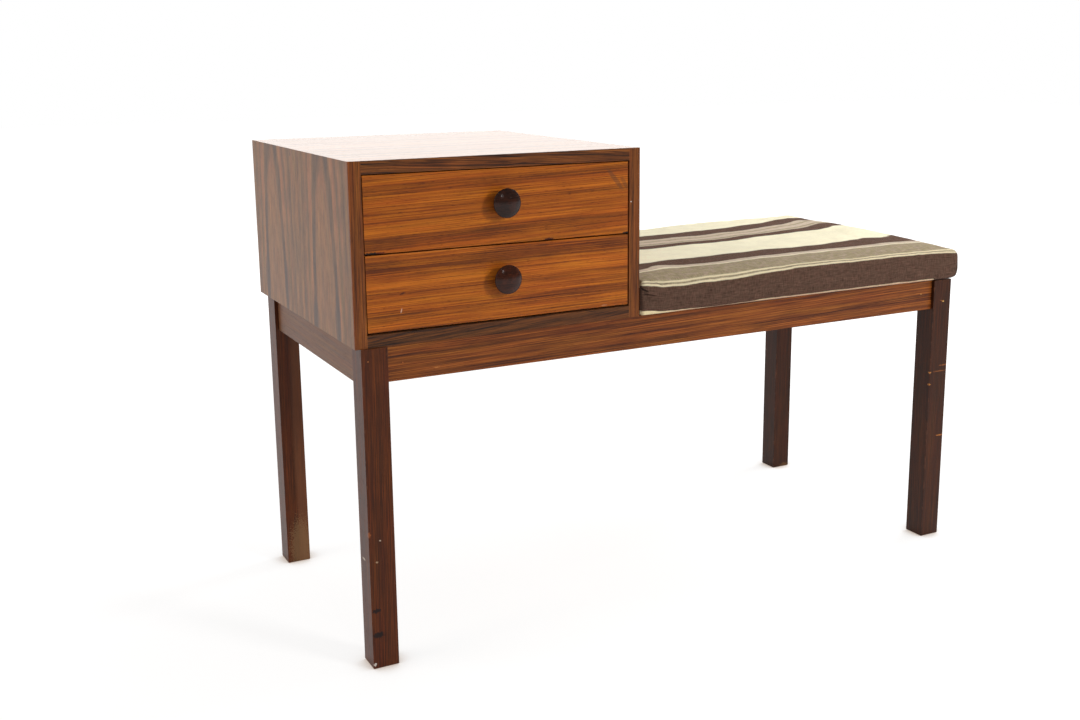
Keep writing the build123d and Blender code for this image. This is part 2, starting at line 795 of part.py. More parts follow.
# ---- the cushion ----
def cushion_outline(inset, corner):
    """A rectangle with round corners, whose sides are drawn in between them."""
    half_x = (cushion_right - cushion_left) / 2 - inset
    half_y = (cushion_back - cushion_front) / 2 - inset
    middle_x = (cushion_left + cushion_right) / 2
    middle_y = (cushion_front + cushion_back) / 2
    flat_x = half_x - corner
    flat_y = half_y - corner
    bend = corner * (1 - 1 / sqrt(2))
    with BuildLine() as edge:
        for sign in (1, -1):
            ThreePointArc(
                (middle_x - sign * flat_x, middle_y - sign * half_y),
                (middle_x, middle_y - sign * (half_y - cushion_drawn_in)),
                (middle_x + sign * flat_x, middle_y - sign * half_y),
            )
            ThreePointArc(
                (middle_x + sign * flat_x, middle_y - sign * half_y),
                (middle_x + sign * (half_x - bend), middle_y - sign * (half_y - bend)),
                (middle_x + sign * half_x, middle_y - sign * flat_y),
            )
            ThreePointArc(
                (middle_x + sign * half_x, middle_y - sign * flat_y),
                (middle_x + sign * (half_x - cushion_drawn_in), middle_y),
                (middle_x + sign * half_x, middle_y + sign * flat_y),
            )
            ThreePointArc(
                (middle_x + sign * half_x, middle_y + sign * flat_y),
                (middle_x + sign * (half_x - bend), middle_y + sign * (half_y - bend)),
                (middle_x + sign * flat_x, middle_y + sign * half_y),
            )
    make_face(edge.line)


def cushion_form(skin):
    """The crowned pillow shape, smaller by the given skin, from flat underside to crown."""
    half_depth = (cushion_back - cushion_front) / 2
    # Sides: share of the edge's height, and share of the underside's inset.
    side_levels = ((0.0, 1.0), (0.06, 0.45), (0.2, 0.12), (0.5, 0.0), (0.8, 0.12), (0.94, 0.45))
    # Crown: share of its height, and share of half the depth that the outline is drawn in by.
    crown_levels = ((0.0, 0.045), (0.34, 0.13), (0.74, 0.3), (1.0, 0.52))
    sections = []
    for height_share, inset_share in side_levels:
        z = cushion_bottom + cushion_edge_height * height_share
        sections.append((z, cushion_bottom_inset * inset_share))
    for crown_share, inset_share in crown_levels:
        z = cushion_bottom + cushion_edge_height + cushion_crown * crown_share
        sections.append((z, half_depth * inset_share))
    lowest = sections[0][0]
    highest = sections[-1][0]
    squeeze = 1 - 2 * skin / (highest - lowest)
    middle = (lowest + highest) / 2
    outlines = []
    for z, inset in sections:
        with BuildSketch(Plane.XY.offset(middle + (z - middle) * squeeze)) as outline:
            cushion_outline(inset + skin, cushion_corner + inset * cushion_corner_growth - skin)
        outlines.append(outline.sketch.face())
    loft(outlines, ruled=True)


def make_cushion():
    """The fabric cover as a closed skin, and the foam pad inside it."""
    with BuildPart() as cushion_foam:
        cushion_form(cover_thickness + foam_clearance)
    save(cushion_foam, "cushion_foam")

    with BuildPart(mode=Mode.PRIVATE) as cavity:
        cushion_form(cover_thickness)
    with BuildPart() as cushion_cover:
        cushion_form(0.0)
        add(cavity.part, mode=Mode.SUBTRACT)
    save(cushion_cover, "cushion_cover")


make_legs()
make_rails()
make_rail_dowels()
make_seat_board()
make_cleats()
make_frame_screws()
make_case()
make_case_back()
make_lippings()
make_runners()
for drawer_level, drawer_front_bottom in drawers.items():
    make_drawer_front(drawer_level, drawer_front_bottom)
    make_drawer_sides(drawer_level, drawer_front_bottom)
    make_drawer_back_and_bottom(drawer_level, drawer_front_bottom)
    make_knob(drawer_level, drawer_front_bottom)
make_cushion()
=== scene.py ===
import math
from itertools import product
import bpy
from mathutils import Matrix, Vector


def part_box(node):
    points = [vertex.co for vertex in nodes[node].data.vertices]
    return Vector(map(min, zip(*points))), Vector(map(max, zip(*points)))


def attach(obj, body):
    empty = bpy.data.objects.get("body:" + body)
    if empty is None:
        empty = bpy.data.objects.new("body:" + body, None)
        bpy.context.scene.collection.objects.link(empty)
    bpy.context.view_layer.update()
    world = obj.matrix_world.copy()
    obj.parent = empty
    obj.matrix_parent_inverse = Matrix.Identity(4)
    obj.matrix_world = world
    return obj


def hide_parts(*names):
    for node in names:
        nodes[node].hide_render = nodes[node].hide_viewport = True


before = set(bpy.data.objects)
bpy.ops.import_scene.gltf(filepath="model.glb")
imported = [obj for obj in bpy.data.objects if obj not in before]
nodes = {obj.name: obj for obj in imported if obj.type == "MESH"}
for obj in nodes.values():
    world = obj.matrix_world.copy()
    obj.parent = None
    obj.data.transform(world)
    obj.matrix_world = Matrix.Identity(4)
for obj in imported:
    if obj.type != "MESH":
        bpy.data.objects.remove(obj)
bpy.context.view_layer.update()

from types import SimpleNamespace

import bpy
import numpy as np
from mathutils import Matrix, Vector, noise

# A telephone bench: rosewood cabinet with two drawers, dark stained frame, striped cushion.
# Metres, +Z up, front towards -Y. The frame's nodes stay; only the cushion is a new piece.

X, Y, Z = (1, 0, 0), (0, 1, 0), (0, 0, 1)
WHITE = (1, 1, 1, 1)

# ---- camera ----
VIEW_AZIMUTH = math.radians(-27.969)
VIEW_ELEVATION = math.radians(11.884)
VIEW_ROLL = math.radians(-0.407)
CAMERA_PLACE = Vector((-0.8973, -1.5275, 0.7238))
IMAGE_SIZE = (1080, 720)
FOCAL_PIXELS = 1258.25
VIEW_CENTRE = (565.18, 314.25)  # pixel that the camera points at
SENSOR_WIDTH = 36
NEAREST = 0.05

# ---- colours, as they show on a screen; woods have a dark, a middle and a light one ----
ROSEWOOD_FRONT = ((82, 38, 12), (150, 77, 18), (194, 108, 28))
ROSEWOOD_RAIL = ((60, 26, 11), (121, 63, 22), (162, 93, 37))
# the end rails' palette is greyer than the long rails': painted reflection
ROSEWOOD_END_RAIL = ((50, 28, 20), (106, 68, 44), (140, 98, 62))
ROSEWOOD_STRIP = ((54, 27, 12), (119, 65, 27), (160, 91, 39))
ROSEWOOD_EDGE = ((30, 16, 12), (104, 58, 26), (146, 84, 38))
ROSEWOOD_FOOT_EDGE = ((25, 13, 9), (84, 48, 22), (116, 66, 30))
ROSEWOOD_CASE = ((56, 44, 42), (122, 86, 56), (178, 120, 78))
STAIN = ((32, 13, 7), (64, 30, 12), (94, 46, 19))
LEG_TONE = {  # how light each leg's stain is
    "leg_front_left": 1.16,
    "leg_front_right": 0.87,
    "leg_back_left": 1.18,
    "leg_back_right": 0.8,
}
BEECH = ((168, 126, 84), (196, 156, 112), (214, 178, 136))
PINE = ((176, 130, 80), (208, 168, 118), (224, 190, 144))
PLYWOOD = ((150, 110, 72), (186, 146, 104), (206, 170, 128))
KNOB_WOOD = {
    "lower": ((34, 16, 10), (54, 25, 15), (78, 36, 20)),
    "upper": ((28, 15, 12), (42, 23, 17), (62, 31, 21)),
}
ZINC = ((120, 118, 112), (188, 186, 180))

# ---- light levels ----
WORLD_LIGHT = 0.36
MIRRORED_FRONT = 0.25
MIRRORED_TINT = (1, 0.91, 0.85, 1)
FLOOR_REACH = 12
FLOOR_GLOW = 0.79
GLOW_REACH = (0.6, 2.2)  # how far from the middle the floor starts to whiten, and is white
FLOOR_SHADE = 0.29
CONTACT_REACH = 0.035
CONTACT_SHADE = (0.55, 0.44, 0.36, 1)
UNSEEN_FLOOR = (0.7, 0.7, 0.7, 1)  # the floor for light that bounces
# each lamp: place, what it points at, size, power, colour, whether gloss mirrors it
LAMPS = {
    "key": ((1.25, -2.5, 1.45), (0, -0.2, 0.45), (0.6, 0.6), 41, (1, 0.985, 0.96), False),
    "above": ((1.75, 0.3, 1.55), (0.25, 0, 0.45), (1.2, 1.2), 33, (1, 1, 1), True),
    "left": ((-2.35, 0.1, 1.6), (-0.4, 0, 0.4), (1.4, 1.2), 18.5, (1, 0.91, 0.84), True),
    "window": ((-0.6, -2.8, 2), (-0.2, -0.2, 0.5), (0.24, 0.24), 4, (1, 1, 1), True),
    "behind": ((1.2, 3.2, 1.1), (0, 0, 0.5), (3.6, 1.8), 28, (1, 1, 1), True),
}


def srgb(colour):
    """A screen colour, 0 to 255, as the linear colour that a shader takes."""
    shares = [value / 255 for value in colour]
    linear = [s / 12.92 if s <= 0.04045 else ((s + 0.055) / 1.055) ** 2.4 for s in shares]
    return (*linear, 1)


class Tree:
    """The node tree of a material or a world, with short calls that add nodes to it."""

    def __init__(self, owner):
        owner.use_nodes = True
        self.owner = owner
        self.graph = owner.node_tree
        self.surface = self.graph.nodes.get("Principled BSDF") or self.graph.nodes["Background"]
        self.coordinates = self.node("TexCoord").outputs
        self.place = self.coordinates["Object"]

    def node(self, kind, inputs=None, **settings):
        """Adds a node with these inputs and settings. Its kind comes without ShaderNode."""
        made = self.graph.nodes.new("ShaderNode" + kind)
        for key, value in settings.items():
            setattr(made, key, value)
        for key, value in (inputs or {}).items():
            self.feed(made.inputs[key], value)
        return made

    def feed(self, socket, value):
        """Links or sets a socket. A colour of three numbers is one as it shows on a screen."""
        if isinstance(value, bpy.types.NodeSocket):
            self.graph.links.new(value, socket)
        elif socket.type == "RGBA" and len(value) == 3:
            socket.default_value = srgb(value)
        else:
            socket.default_value = value

    def math(self, operation, *values):
        return self.node("Math", dict(enumerate(values)), operation=operation).outputs[0]

    def times(self, first, second):
        return self.math("MULTIPLY", first, second)

    def scale_add(self, value, factor, base):
        return self.math("MULTIPLY_ADD", value, factor, base)

    def vector(self, operation, first, second):
        keys = (0, 3) if operation == "SCALE" else (0, 1)
        made = self.node("VectorMath", dict(zip(keys, (first, second))), operation=operation)
        return made.outputs[1 if operation in ("DOT_PRODUCT", "DISTANCE") else 0]

    def length(self, vector):
        return self.vector("DISTANCE", vector, (0, 0, 0))

    def turned(self, vector, degrees, axis):
        inputs = {"Vector": vector, "Angle": math.radians(degrees)}
        return self.node("VectorRotate", inputs, rotation_type=axis).outputs[0]

    def combine(self, x, y, z):
        return self.node("CombineXYZ", {0: x, 1: y, 2: z}).outputs[0]

    def separate(self, vector):
        return self.node("SeparateXYZ", {0: vector}).outputs

    def noise(self, place, detail=2, roughness=0.5):
        inputs = {"Vector": place, "Scale": 1, "Detail": detail, "Roughness": roughness}
        return self.node("TexNoise", inputs).outputs[0]

    def signed_noise(self, place, detail=2, roughness=0.5):
        """Noise around zero."""
        return self.math("SUBTRACT", self.noise(place, detail, roughness), 0.5)

    def stretched(self, along, across, length, width, third):
        """A place for noise that is drawn out to this length and width."""
        return self.combine(self.math("DIVIDE", along, length), self.math("DIVIDE", across, width), third)

    def grain(self, along, across, length, width, seed, detail=2):
        """Noise around zero, drawn out along the grain."""
        return self.signed_noise(self.stretched(along, across, length, width, seed), detail, 0.55)

    def map_range(self, value, low, high, bottom=0, top=1, kind="LINEAR"):
        inputs = {0: value, 1: low, 2: high, 3: bottom, 4: top}
        return self.node("MapRange", inputs, interpolation_type=kind).outputs[0]

    def smooth(self, *values):
        """As map_range, but eased at both ends."""
        return self.map_range(*values, kind="SMOOTHSTEP")

    def ramp(self, value, stops, interpolation="LINEAR"):
        """A colour or grey level by value, from stops of (value, screen colour or level)."""
        low, high = stops[0][0], stops[-1][0]
        made = self.node("ValToRGB", {0: self.map_range(value, low, high)})
        elements = made.color_ramp.elements
        made.color_ramp.interpolation = interpolation
        for index, (place, colour) in enumerate(stops):
            position = (place - low) / (high - low)
            element = elements[index] if index < 2 else elements.new(position)
            element.position = position
            element.color = srgb(colour) if hasattr(colour, "__len__") else (colour,) * 3 + (1,)
        return made.outputs[0]

    def mix(self, share, first, second):
        made = self.node("Mix", data_type="RGBA")
        for key, value in ((0, share), (6, first), (7, second)):
            self.feed(made.inputs[key], value)
        return made.outputs[2]

    def bump(self, height, distance, normal=None):
        made = self.node("Bump", {"Height": height, "Distance": distance})
        if normal:
            self.feed(made.inputs["Normal"], normal)
        return made.outputs[0]

    def finish(self, **inputs):
        """Feeds the surface's inputs, written with _ for each space."""
        for name, value in inputs.items():
            self.feed(self.surface.inputs[name.replace("_", " ")], value)
        return self.owner


def new_tree(name):
    return Tree(bpy.data.materials.new(name))


def add_object(name, data):
    made = bpy.data.objects.new(name, data)
    bpy.context.scene.collection.objects.link(made)
    return made


def shade(name, material):
    """Gives a material to a CAD node, in the slot that it already has."""
    mesh = nodes[name].data
    mesh.materials.clear()
    mesh.materials.append(material)


# ---- wood ----
EDGE_ROUNDING = 0.0007
GRAIN_RELIEF = 0.00007
COAT_ROUGHNESS = 0.25
MIDDLE_TONE = 0.62
LANE_SLANT = 0.7  # how much depth shifts the fine grain, so that all long faces show it
# fine grain: length and width in millimetres, seed, detail, share of the tone
FINE_GRAIN = {
    "medium": (200, 3.4, 3.7, 3, 0.5),
    "fine": (95, 1.3, 7.1, 3, 1.5),
    "hair": (34, 0.8, 11.3, 2, 1.4),
}
# what wood() takes where a piece says nothing else
PLAIN_LOOK = {
    "seed": 0,
    "contrast": 1,
    "broad": 0.5,  # strength of the broad rings
    "lines": 0.1,  # darkness of the lines between rings
    "pores": 0.45,
    "figure": None,  # (millimetres from the pith, darkness) for the bands that stand out
    "leaf": None,  # millimetres across after which veneer leaves repeat
    "fan": 0,  # share that the bands spread by for each millimetre along
    "wander": 6,  # millimetres that the rings wander by
    "stretch": 1,  # lengthens the fine grain
    "cloud": 0,  # how blotchy the wood is
    "hue": 0.006,
    "roughness": 0.44,
    "gloss": 0.22,
    "coat": 0,
    "marks": (),  # for each mark, what add_mark takes after the colour
    "worn": None,  # (low, high, colour, amount) of a box whose edges are worn
}


def log_place(tree, pith, along, across):
    """Millimetres along the grain, across it, and through it, counted from a point on the pith."""
    along = Vector(along).normalized()
    across = Vector(across)
    across = (across - across.project(along)).normalized()
    directions = (along, across, along.cross(across))
    offset = tree.vector("SUBTRACT", tree.place, tuple(pith))
    millimetres = tree.vector("SCALE", offset, 1000)
    return [tree.vector("DOT_PRODUCT", millimetres, tuple(d)) for d in directions]


def ring_place(tree, along, across, through, wander):
    """How far from the pith a point lies in millimetres, with the log's slow wander."""
    slow = tree.stretched(along, across, 260, 90, tree.math("DIVIDE", through, 90))
    quick = tree.stretched(along, across, 55, 22, 5)
    squares = tree.scale_add(across, across, tree.times(through, through))
    ring = tree.scale_add(tree.signed_noise(slow), wander, tree.math("SQRT", squares))
    return tree.scale_add(tree.signed_noise(quick), wander * 0.3, ring)


def wood_place(tree, pith, along, across, look):
    """A point's place along, across, from the pith, and on the lane that the fine grain keeps."""
    g, u, d = log_place(tree, pith, along, across)
    if look.leaf:
        u = tree.math("WRAP", u, look.leaf / 2, -look.leaf / 2)
    if look.fan:
        u = tree.times(u, tree.scale_add(g, -look.fan, 1))
    ring = ring_place(tree, g, u, d, look.wander)
    sway = tree.grain(g, u, 200, 40, look.seed + 2.3)
    lane = tree.scale_add(sway, look.wander, tree.scale_add(d, LANE_SLANT, u))
    return g, u, ring, lane


def wood_tone(tree, g, u, ring, lane, look):
    """How light the wood is, from 0 to 1, and its fine grain alone."""
    wide = tree.grain(g, ring, 420, 12, look.seed)
    tone = tree.scale_add(wide, look.broad * look.contrast, MIDDLE_TONE)
    if look.cloud:
        blotch = tree.grain(g, u, 34, 15, look.seed + 27, 3)
        tone = tree.scale_add(blotch, look.cloud, tone)
    layers = {}
    for name, (length, width, seed, detail, share) in FINE_GRAIN.items():
        layers[name] = tree.grain(g, lane, length * look.stretch, width, look.seed + seed, detail)
        tone = tree.scale_add(layers[name], share * look.contrast, tone)
    streak = tree.smooth(tree.grain(g, lane, 110 * look.stretch, 1.1, look.seed + 18.2), 0.06, 0.17)
    tone = tree.scale_add(streak, -0.3 * look.contrast, tone)
    if look.figure:
        stops = [(millimetres, darkness + 0.5) for millimetres, darkness in look.figure]
        bands = tree.math("SUBTRACT", tree.ramp(ring, stops, "EASE"), 0.5)
        uneven = tree.grain(g, u, 70, 30, look.seed + 5)
        tone = tree.math("SUBTRACT", tone, tree.times(bands, tree.scale_add(uneven, 1.6, 1)))
    line = tree.smooth(tree.math("ABSOLUTE", tree.math("ADD", wide, 0.03)), 0, 0.02, 1, 0)
    return tree.scale_add(line, -look.lines, tone), layers["fine"]


def wood_colour(tree, g, ring, tone, pore, palette, look):
    """The wood's colour by its tone, with hue, pores, worn edges and marks."""
    dark, middle, light = palette
    colour = tree.ramp(tone, [(0, dark), (0.55, middle), (1, light)])
    hue = tree.scale_add(tree.grain(g, ring, 120, 9, look.seed + 21), look.hue * 4, 0.5)
    colour = tree.node("HueSaturation", {"Hue": hue, "Color": colour}).outputs[0]
    dark_zone = tree.smooth(tone, 0.3, 0.7, 1, 0.45)
    colour = tree.mix(tree.times(tree.times(pore, dark_zone), look.pores), colour, dark)
    if look.worn:
        low, high, worn_colour, amount = look.worn
        colour = tree.mix(edge_mask(tree, low, high, amount), colour, worn_colour)
    for mark in look.marks:
        colour = add_mark(tree, colour, *mark)
    return colour


def wood(name, pith, along, across, palette, **look):
    """Gives a node the wood of a board or a veneer; pith, along and across place its log."""
    look = SimpleNamespace(**{**PLAIN_LOOK, **look})
    tree = new_tree(name)
    g, u, ring, lane = wood_place(tree, pith, along, across, look)
    tone, fine = wood_tone(tree, g, u, ring, lane, look)
    pore = tree.smooth(tree.grain(g, lane, 8, 0.95, look.seed + 15.9, 1), 0.11, 0.2)
    height = tree.scale_add(pore, -0.8, tree.times(fine, 0.5))
    rounded = tree.node("Bevel", {"Radius": EDGE_ROUNDING}, samples=4).outputs[0]
    material = tree.finish(
        Base_Color=wood_colour(tree, g, ring, tone, pore, palette, look),
        Roughness=tree.scale_add(pore, 0.12, tree.scale_add(fine, 0.25, look.roughness)),
        Normal=tree.bump(height, GRAIN_RELIEF, rounded),
        Specular_IOR_Level=look.gloss,
        Coat_Weight=look.coat,
        Coat_Roughness=COAT_ROUGHNESS,
    )
    shade(name, material)


def edge_mask(tree, low, high, amount):
    """Where a box's edges are worn: patches within a few millimetres of an edge."""
    half = (high - low) / 2
    offset = tree.separate(tree.vector("SUBTRACT", tree.place, tuple((low + high) / 2)))
    gaps = [
        tree.math("SUBTRACT", size, tree.math("ABSOLUTE", part)) for size, part in zip(half, offset)
    ]
    smallest, largest, total = (
        tree.math(kind, tree.math(kind, gaps[0], gaps[1]), gaps[2])
        for kind in ("MINIMUM", "MAXIMUM", "ADD")
    )
    second = tree.math("SUBTRACT", tree.math("SUBTRACT", total, smallest), largest)
    patch = tree.noise(tree.vector("SCALE", tree.place, 90), 5, 0.65)
    reach = tree.times(tree.smooth(patch, 0.45, 0.75), 0.0028)
    near = tree.smooth(tree.math("SUBTRACT", second, reach), -0.0008, 0.0004, 1, 0)
    return tree.times(near, amount)


def add_mark(tree, colour, place, sizes, mark_colour, strength=0.9, ragged=0.8, turn=0):
    """A stain, chip, scratch, painted highlight or painted shade of these half sizes, turned about Y by
    turn degrees.
    """
    offset = tree.vector("SUBTRACT", tree.place, tuple(place))
    if turn:
        offset = tree.turned(offset, turn, "Y_AXIS")
    distance = tree.length(tree.vector("DIVIDE", offset, tuple(sizes)))
    rag = tree.signed_noise(tree.vector("SCALE", tree.place, 700), 3)
    distance = tree.scale_add(rag, ragged * 2, distance)
    inside = tree.times(tree.smooth(distance, 0.6, 1.1, 1, 0), strength)
    return tree.mix(inside, colour, mark_colour)


# ---- the drawer fronts ----
UPPER_BANDS = [
    (400, -0.06), (407, 0.02), (410, 0.26), (416, 0.22), (420, 0), (431, -0.1), (435.5, 0),
    (437, 0.22), (438.5, 0.04), (447, 0), (449.5, 0.16), (451.5, 0), (461, -0.12), (465, 0.06),
    (468, 0.32), (477, 0.26), (481, 0), (490, -0.08),
]
LOWER_BANDS = [
    (400, -0.02), (404, 0.12), (410, 0.34), (417, 0.32), (421, 0.06), (427, 0), (431, -0.18),
    (438, -0.14), (441.5, 0), (443, 0.2), (445, 0.14), (447, -0.08), (462, -0.02), (467, 0.16),
    (474, 0.1), (479, -0.1), (490, -0.04),
]


def upper_front_marks(low, high):
    """Chips along its lower edge, their dark partly painted shade of the gap behind them, a rubbed stain
    at the upper right, small dents.
    """
    y = low.y
    return [
        # chips along the lower edge: real chips, with painted shade of the gap behind them in their dark
        ((low.x + 0.008, y, low.z), (0.013, 0.004, 0.0024), (24, 10, 6), 1),
        ((low.x + 0.019, y, low.z), (0.006, 0.004, 0.0022), (74, 16, 10), 0.8),
        ((low.x + 0.232, y, low.z), (0.008, 0.004, 0.0024), (58, 18, 10), 0.95),
        ((high.x - 0.002, y, low.z), (0.006, 0.004, 0.0022), (24, 10, 6), 1),
        ((high.x - 0.018, y, high.z - 0.021), (0.02, 0.004, 0.0034), (84, 56, 36), 0.5, 0.5, -50),
        ((high.x - 0.005, y, high.z - 0.026), (0.01, 0.004, 0.003), (90, 56, 32), 0.4, 0.5, -58),
        ((low.x + 0.072, y, high.z - 0.012), (0.003, 0.004, 0.0009), (70, 32, 16), 0.7),
        ((low.x + 0.105, y, high.z - 0.019), (0.0035, 0.004, 0.001), (84, 40, 18), 0.6),
    ]


def lower_front_marks(low, high):
    """A scratch and dents, and a painted highlight: the light line along its upper edge."""
    y = low.y
    return [
        ((low.x + 0.043, y, 0.4525), (0.004, 0.004, 0.0012), (70, 32, 16), 0.85, 0.8, 18),
        ((low.x + 0.041, y, 0.4327), (0.0007, 0.004, 0.0034), (214, 176, 150), 0.8, 0.4, -16),
        # painted highlight along the upper edge
        ((low.x + 0.085, y, high.z), (0.1, 0.004, 0.0006), (214, 132, 66), 0.6, 0.2),
        ((high.x - 0.034, y, 0.412), (0.0045, 0.004, 0.0007), (206, 150, 110), 0.5, 0.8),
        ((high.x - 0.118, y, high.z - 0.004), (0.01, 0.004, 0.001), (60, 26, 14), 0.6),
    ]


def make_fronts():
    """Drawer fronts: straight grain from side to side, in bands of orange and brown."""
    fronts = (
        ("upper_drawer_front", UPPER_BANDS, upper_front_marks, -0.00004),
        ("lower_drawer_front", LOWER_BANDS, lower_front_marks, 0),
    )
    for seed, (name, figure, marks, fan) in enumerate(fronts):
        low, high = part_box(name)
        wood(
            name, ((low.x + high.x) / 2, high.y, high.z + 0.4), (1, 0, 0.012), Z, ROSEWOOD_FRONT,
            seed=seed * 5 + 1, contrast=0.85 + 0.12 * seed, broad=0.35, lines=0.06, pores=0.8,
            figure=figure, fan=fan, wander=2.5, stretch=2.2, cloud=0.25, marks=marks(low, high),
        )


# ---- the case ----
SIDE_FIGURE = [
    (8, 0), (22, -0.04), (30, 0), (34, -0.12), (38, -0.04), (41, 0.1), (44, 0.34), (51, 0.34),
    (53, 0.05), (56, -0.1), (60, -0.06), (63, 0.06), (65.5, 0.14), (67.5, 0.26), (70, 0.12),
    (76, -0.06), (84, 0.08), (89, 0.22), (92, 0.06), (98, -0.04), (106, 0.1), (118, 0.04),
]
TOP_FIGURE = [
    (10, 0), (30, -0.1), (38, 0.15), (44, 0.12), (48, -0.1), (60, 0.05), (72, 0.2), (78, 0),
]
# grey marks low on the sides: y, z and half height
SIDE_STAINS = ((0.166, 0.422, 0.04), (0.072, 0.424, 0.036), (-0.05, 0.404, 0.03), (-0.137, 0.414, 0.036))


def make_case():
    """The case: upright cathedral figure on the sides, plainer grain on the top and bottom."""
    for name, outward in (("cabinet_left_side", -1), ("cabinet_right_side", 1)):
        low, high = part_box(name)
        face = low.x if outward < 0 else high.x
        marks = [
            ((face, y, z), (0.004, 0.013, height), (72, 56, 52), 0.62, 0.25)
            for y, z, height in SIDE_STAINS
        ]
        marks.append(((face, 0.03, 0.598), (0.004, 0.0022, 0.0026), (70, 56, 56), 0.8))
        wood(
            name, (face - outward * 0.01, 0.12, low.z), (-outward * 0.154, 0, 1), Y, ROSEWOOD_CASE,
            seed=2, contrast=0.42, broad=0.8, lines=0.05, pores=0.3, figure=SIDE_FIGURE, leaf=215,
            wander=7, cloud=0.7, hue=0.012, roughness=0.46, gloss=0.4, marks=marks,
        )
    for name, outward in (("cabinet_top", 1), ("cabinet_bottom", -1)):
        low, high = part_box(name)
        face = high.z if outward > 0 else low.z
        wood(
            name, (low.x, 0.03, face - outward * 0.012), (1, 0, -outward * 0.05), Y, ROSEWOOD_CASE,
            seed=4 + outward, contrast=0.6, figure=TOP_FIGURE, leaf=205,
            roughness=0.36, gloss=0.5, coat=0.37,
        )


# ---- the solid strips round the case's front edge ----
UPRIGHT_FIGURE = [
    (40, 0.1), (48, 0), (51, 0.05), (52.5, 0.25), (54, 0.2), (55.5, 0), (60, 0.16), (63, 0.02),
]
LEVEL_FIGURE = [
    (14, 0), (20, -0.05), (22, 0.35), (24, 0), (28, 0), (31, 0.4), (33, 0), (38, -0.05),
    (40, 0.35), (42, 0), (48, -0.05), (50, 0.3), (52, 0), (60, 0.1),
]


def lipping_marks(name, low, high):
    """A pale chip at the right, painted edge shade along the top strip's top edge, dark streaks along the
    bottom strip.
    """
    y = low.y
    marks = {
        "right_lipping": [
            ((low.x + 0.0025, y, 0.539), (0.0009, 0.003, 0.001), (235, 225, 215), 0.8, 0.4),
        ],
        "top_lipping": [
            # painted edge shade: a dark line along the top edge
            (((low + high).x / 2, y, high.z), (0.26, 0.0012, 0.0009), (44, 24, 16), 0.8, 0.1),
        ],
        "bottom_lipping": [
            ((-0.416, y, 0.403), (0.03, 0.004, 0.0011), (36, 22, 18), 0.75, 0.5, 8),
            ((-0.362, y, 0.4062), (0.034, 0.004, 0.0013), (32, 20, 16), 0.8, 0.6, 1),
            ((-0.172, y, 0.4105), (0.014, 0.004, 0.0009), (38, 24, 20), 0.6, 0.7, -4),
            ((-0.156, y, 0.4068), (0.012, 0.004, 0.0009), (38, 24, 20), 0.6, 0.7, -12),
        ],
    }
    return marks.get(name, ())


def make_lippings():
    """Solid edge strips: upright ones straight grained, the others with dark wavy figure."""
    for seed, name in enumerate(("left_lipping", "right_lipping")):
        low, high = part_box(name)
        centre = (low + high) / 2
        wood(
            name, (centre.x - 0.052, centre.y + 0.02, centre.z), (0.012, 0, 1), X, ROSEWOOD_STRIP,
            seed=seed + 8, contrast=0.8, figure=UPRIGHT_FIGURE, wander=2.5,
            marks=lipping_marks(name, low, high), worn=(low, high, (120, 72, 42), 0.25),
        )
    level_strips = (("top_lipping", ROSEWOOD_EDGE, -0.045), ("bottom_lipping", ROSEWOOD_FOOT_EDGE, 0.06))
    for seed, (name, palette, slope) in enumerate(level_strips):
        low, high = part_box(name)
        centre = (low + high) / 2
        wood(
            name, (low.x + 0.1, centre.y + 0.02, centre.z - 0.035), (1, 0, slope), Z, palette,
            seed=seed * 3 + 12, broad=0.7, lines=0.35, figure=LEVEL_FIGURE,
            wander=12, marks=lipping_marks(name, low, high),
        )


# ---- rails and legs ----
RAIL_FIGURE = [
    (220, 0), (232, 0.05), (236, 0.3), (240, 0.05), (246, 0), (250, 0.2), (253, 0), (262, 0.24),
    (266, 0.02), (280, 0.05),
]


def rail_marks(name, low):
    """Small chips at both ends of the front rail."""
    if name != "front_rail":
        return ()
    return [
        ((-0.359, low.y, 0.36), (0.004, 0.003, 0.001), (190, 120, 62), 0.6),
        ((-0.401, low.y, 0.371), (0.0012, 0.003, 0.0009), (176, 96, 50), 0.6),
        ((0.405, low.y, 0.372), (0.004, 0.003, 0.0014), (70, 36, 22), 0.8),
        ((0.395, low.y, 0.374), (0.0013, 0.003, 0.0008), (206, 158, 96), 0.7, 0.4),
    ]


def make_rails():
    """Rails: medium red-brown, straight grained along their length; the end rails greyer with painted
    reflection.
    """
    for seed, name in enumerate(("front_rail", "back_rail", "left_end_rail", "right_end_rail")):
        low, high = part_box(name)
        centre = (low + high) / 2
        is_long = not name.endswith("_end_rail")
        along = (1, 0, 0.02) if is_long else (0, 1, 0.02)
        # the greyer end rail palette is painted reflection
        palette = ROSEWOOD_RAIL if is_long else ROSEWOOD_END_RAIL
        wood(
            name, (centre.x, centre.y, centre.z + 0.25), along, Z, palette,
            seed=seed * 2 + 20, contrast=1.1 if is_long else 0.5, broad=0.4, lines=0.15,
            wander=2, stretch=1.8, cloud=0.2, figure=RAIL_FIGURE if is_long else None,
            marks=rail_marks(name, low),
        )


